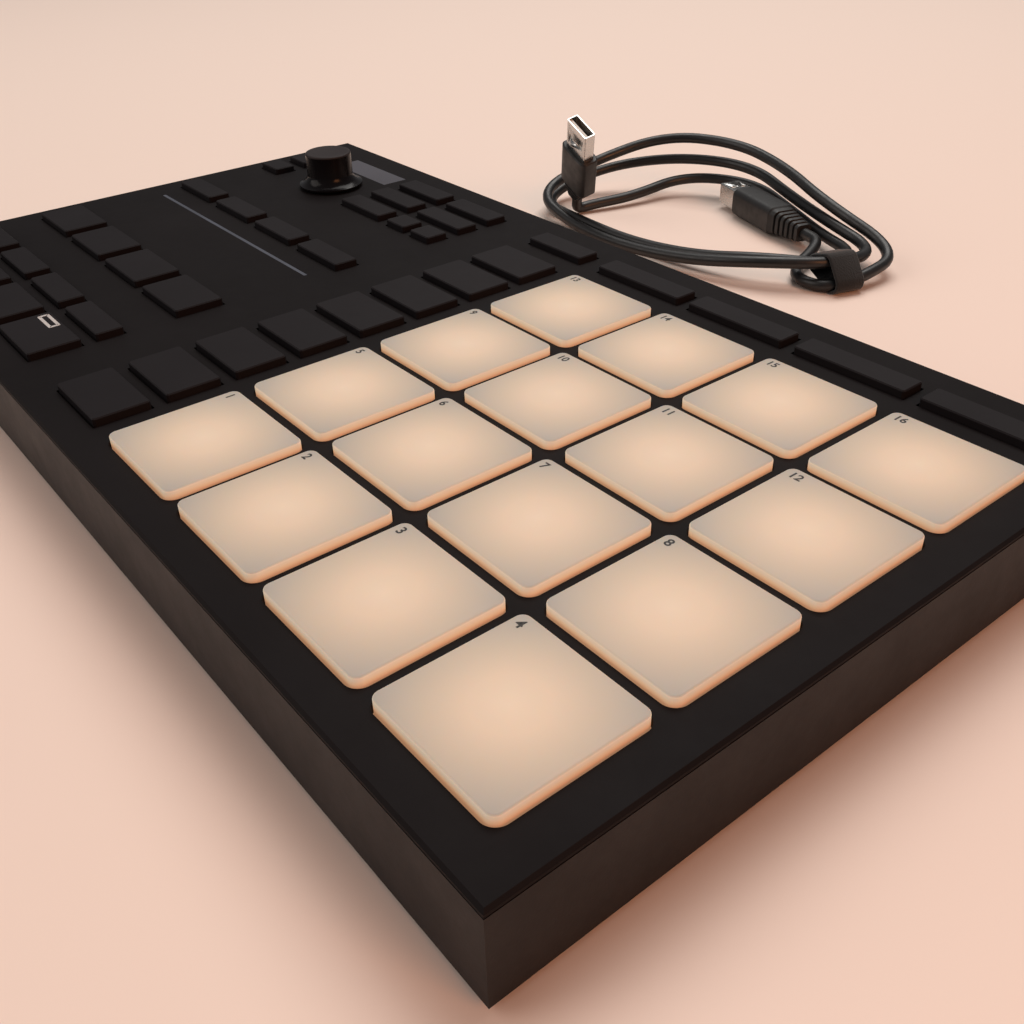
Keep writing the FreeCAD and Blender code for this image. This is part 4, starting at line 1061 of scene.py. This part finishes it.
moulding_vinyl = vinyl("moulded_vinyl", "#121213", (0.45, 0.6))
tongue_plastic = vinyl("tongue_plastic", "#D8D5CE", (0.5, 0.6))
plated_steel = brushed("nickel_plated_steel", "#C8C8C6", (0.22, 0.34), 0.8 * MM)
plug_a = model_plug("plug_a_moulding", **A_PLUG_SIZES)
plug_b = model_plug("plug_b_moulding", **B_PLUG_SIZES)
turn_onto(plug_a, A_PLUG_FOOT, A_PLUG_AXIS, A_PLUG_WIDE)
turn_onto(plug_b, B_PLUG_FOOT, B_PLUG_AXIS, B_PLUG_WIDE)
for plug, node in ((plug_a, "usb_plug_a"), (plug_b, "usb_plug_b")):
    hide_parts(node)
    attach(plug, "housing")
print("plug faces:", len(plug_a.data.polygons), len(plug_b.data.polygons))

# %% [markdown]
# The tie is a strap of hook and loop tape round the turns at the right end of the coil. It has
# to fit the strands as they lie, so the places where they pass are read from the lead's own
# line, and the strap is a flat band round them.

# %% Tie
TIE_MIDDLE = Vector((30 * MM, 161 * MM, 0))
TIE_REACH = 12 * MM
TIE_WIDE = 11 * MM
TIE_THICK = 1.2 * MM
TIE_SLACK = 0.2 * MM
CIRCLE_POINTS = 16


def strands_at(middle, reach):
    """Where the lead passes the tie's line, with its way there."""
    crossings = []
    for start, end in zip(lead_route, lead_route[1:]):
        if (start.y - middle.y) * (end.y - middle.y) <= 0 and abs(start.x - middle.x) < reach:
            place = start.lerp(end, (middle.y - start.y) / (end.y - start.y))
            crossings.append((place, (end - start).normalized()))
    return crossings


def strap_tie():
    """A closed band round the strands."""
    crossings = strands_at(TIE_MIDDLE, TIE_REACH)
    along = sum((way for _, way in crossings), Vector()).normalized()
    centre = sum((place for place, _ in crossings), Vector()) / len(crossings)
    aside = along.cross(Vector((0, 0, 1))).normalized()
    above = aside.cross(along)
    clear = LEAD_RADIUS + TIE_SLACK + TIE_THICK / 2
    dots = []
    for place, _ in crossings:
        offset = place - centre
        for step in range(CIRCLE_POINTS):
            angle = 2 * math.pi * step / CIRCLE_POINTS
            dots.append(Vector((offset.dot(aside) + clear * math.cos(angle),
                                offset.dot(above) + clear * math.sin(angle))))
    outline = [dots[index] for index in convex_hull_2d(dots)]
    curve = bpy.data.curves.new("strap_tie", "CURVE")
    curve.dimensions = "2D"
    curve.fill_mode = "NONE"
    curve.extrude = TIE_WIDE / 2 - TIE_THICK / 2
    curve.bevel_depth = TIE_THICK / 2
    curve.bevel_resolution = 2
    spline = curve.splines.new("POLY")
    spline.points.add(len(outline) - 1)
    for point, dot in zip(spline.points, outline):
        point.co = (dot.x, dot.y, 0, 1)
    spline.use_cyclic_u = True
    band = bpy.data.objects.new("strap_tie", curve)
    bpy.context.scene.collection.objects.link(band)
    bpy.ops.object.select_all(action="DESELECT")
    bpy.context.view_layer.objects.active = band
    band.select_set(True)
    bpy.ops.object.convert(target="MESH")
    band = bpy.context.object
    turn = Matrix((aside, above, along)).transposed().to_4x4()
    band.data.transform(Matrix.Translation(centre) @ turn)
    bpy.ops.object.shade_smooth_by_angle(angle=math.radians(40))
    return band, len(crossings)


def looped_nylon():
    """Woven nylon with a fuzz of loops: black and quite matte."""
    material, tree, shader = finish("looped_nylon", "#0E0E0F", 0.9, {"Sheen Weight": 0.2})
    place = object_place(tree)
    loops = add(tree, "TexVoronoi", {}, {"Vector": place, "Scale": 1 / (0.5 * MM)})
    tree.links.new(ramp(tree, loops.outputs["Distance"], [(0.1, "#151515"), (0.7, "#0A0A0B")]),
                   shader.inputs["Base Color"])
    bump = add(tree, "Bump", {}, {
        "Height": loops.outputs["Distance"], "Distance": 0.15 * MM, "Strength": 0.7})
    tree.links.new(bump.outputs["Normal"], shader.inputs["Normal"])
    return material


tie, strand_count = strap_tie()
tie.data.materials.append(looped_nylon())
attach(tie, "housing")
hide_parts("usb_lead")
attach(lead, "housing")
print("strands in the tie:", strand_count)

# %% [markdown]

# %% End
print("end")
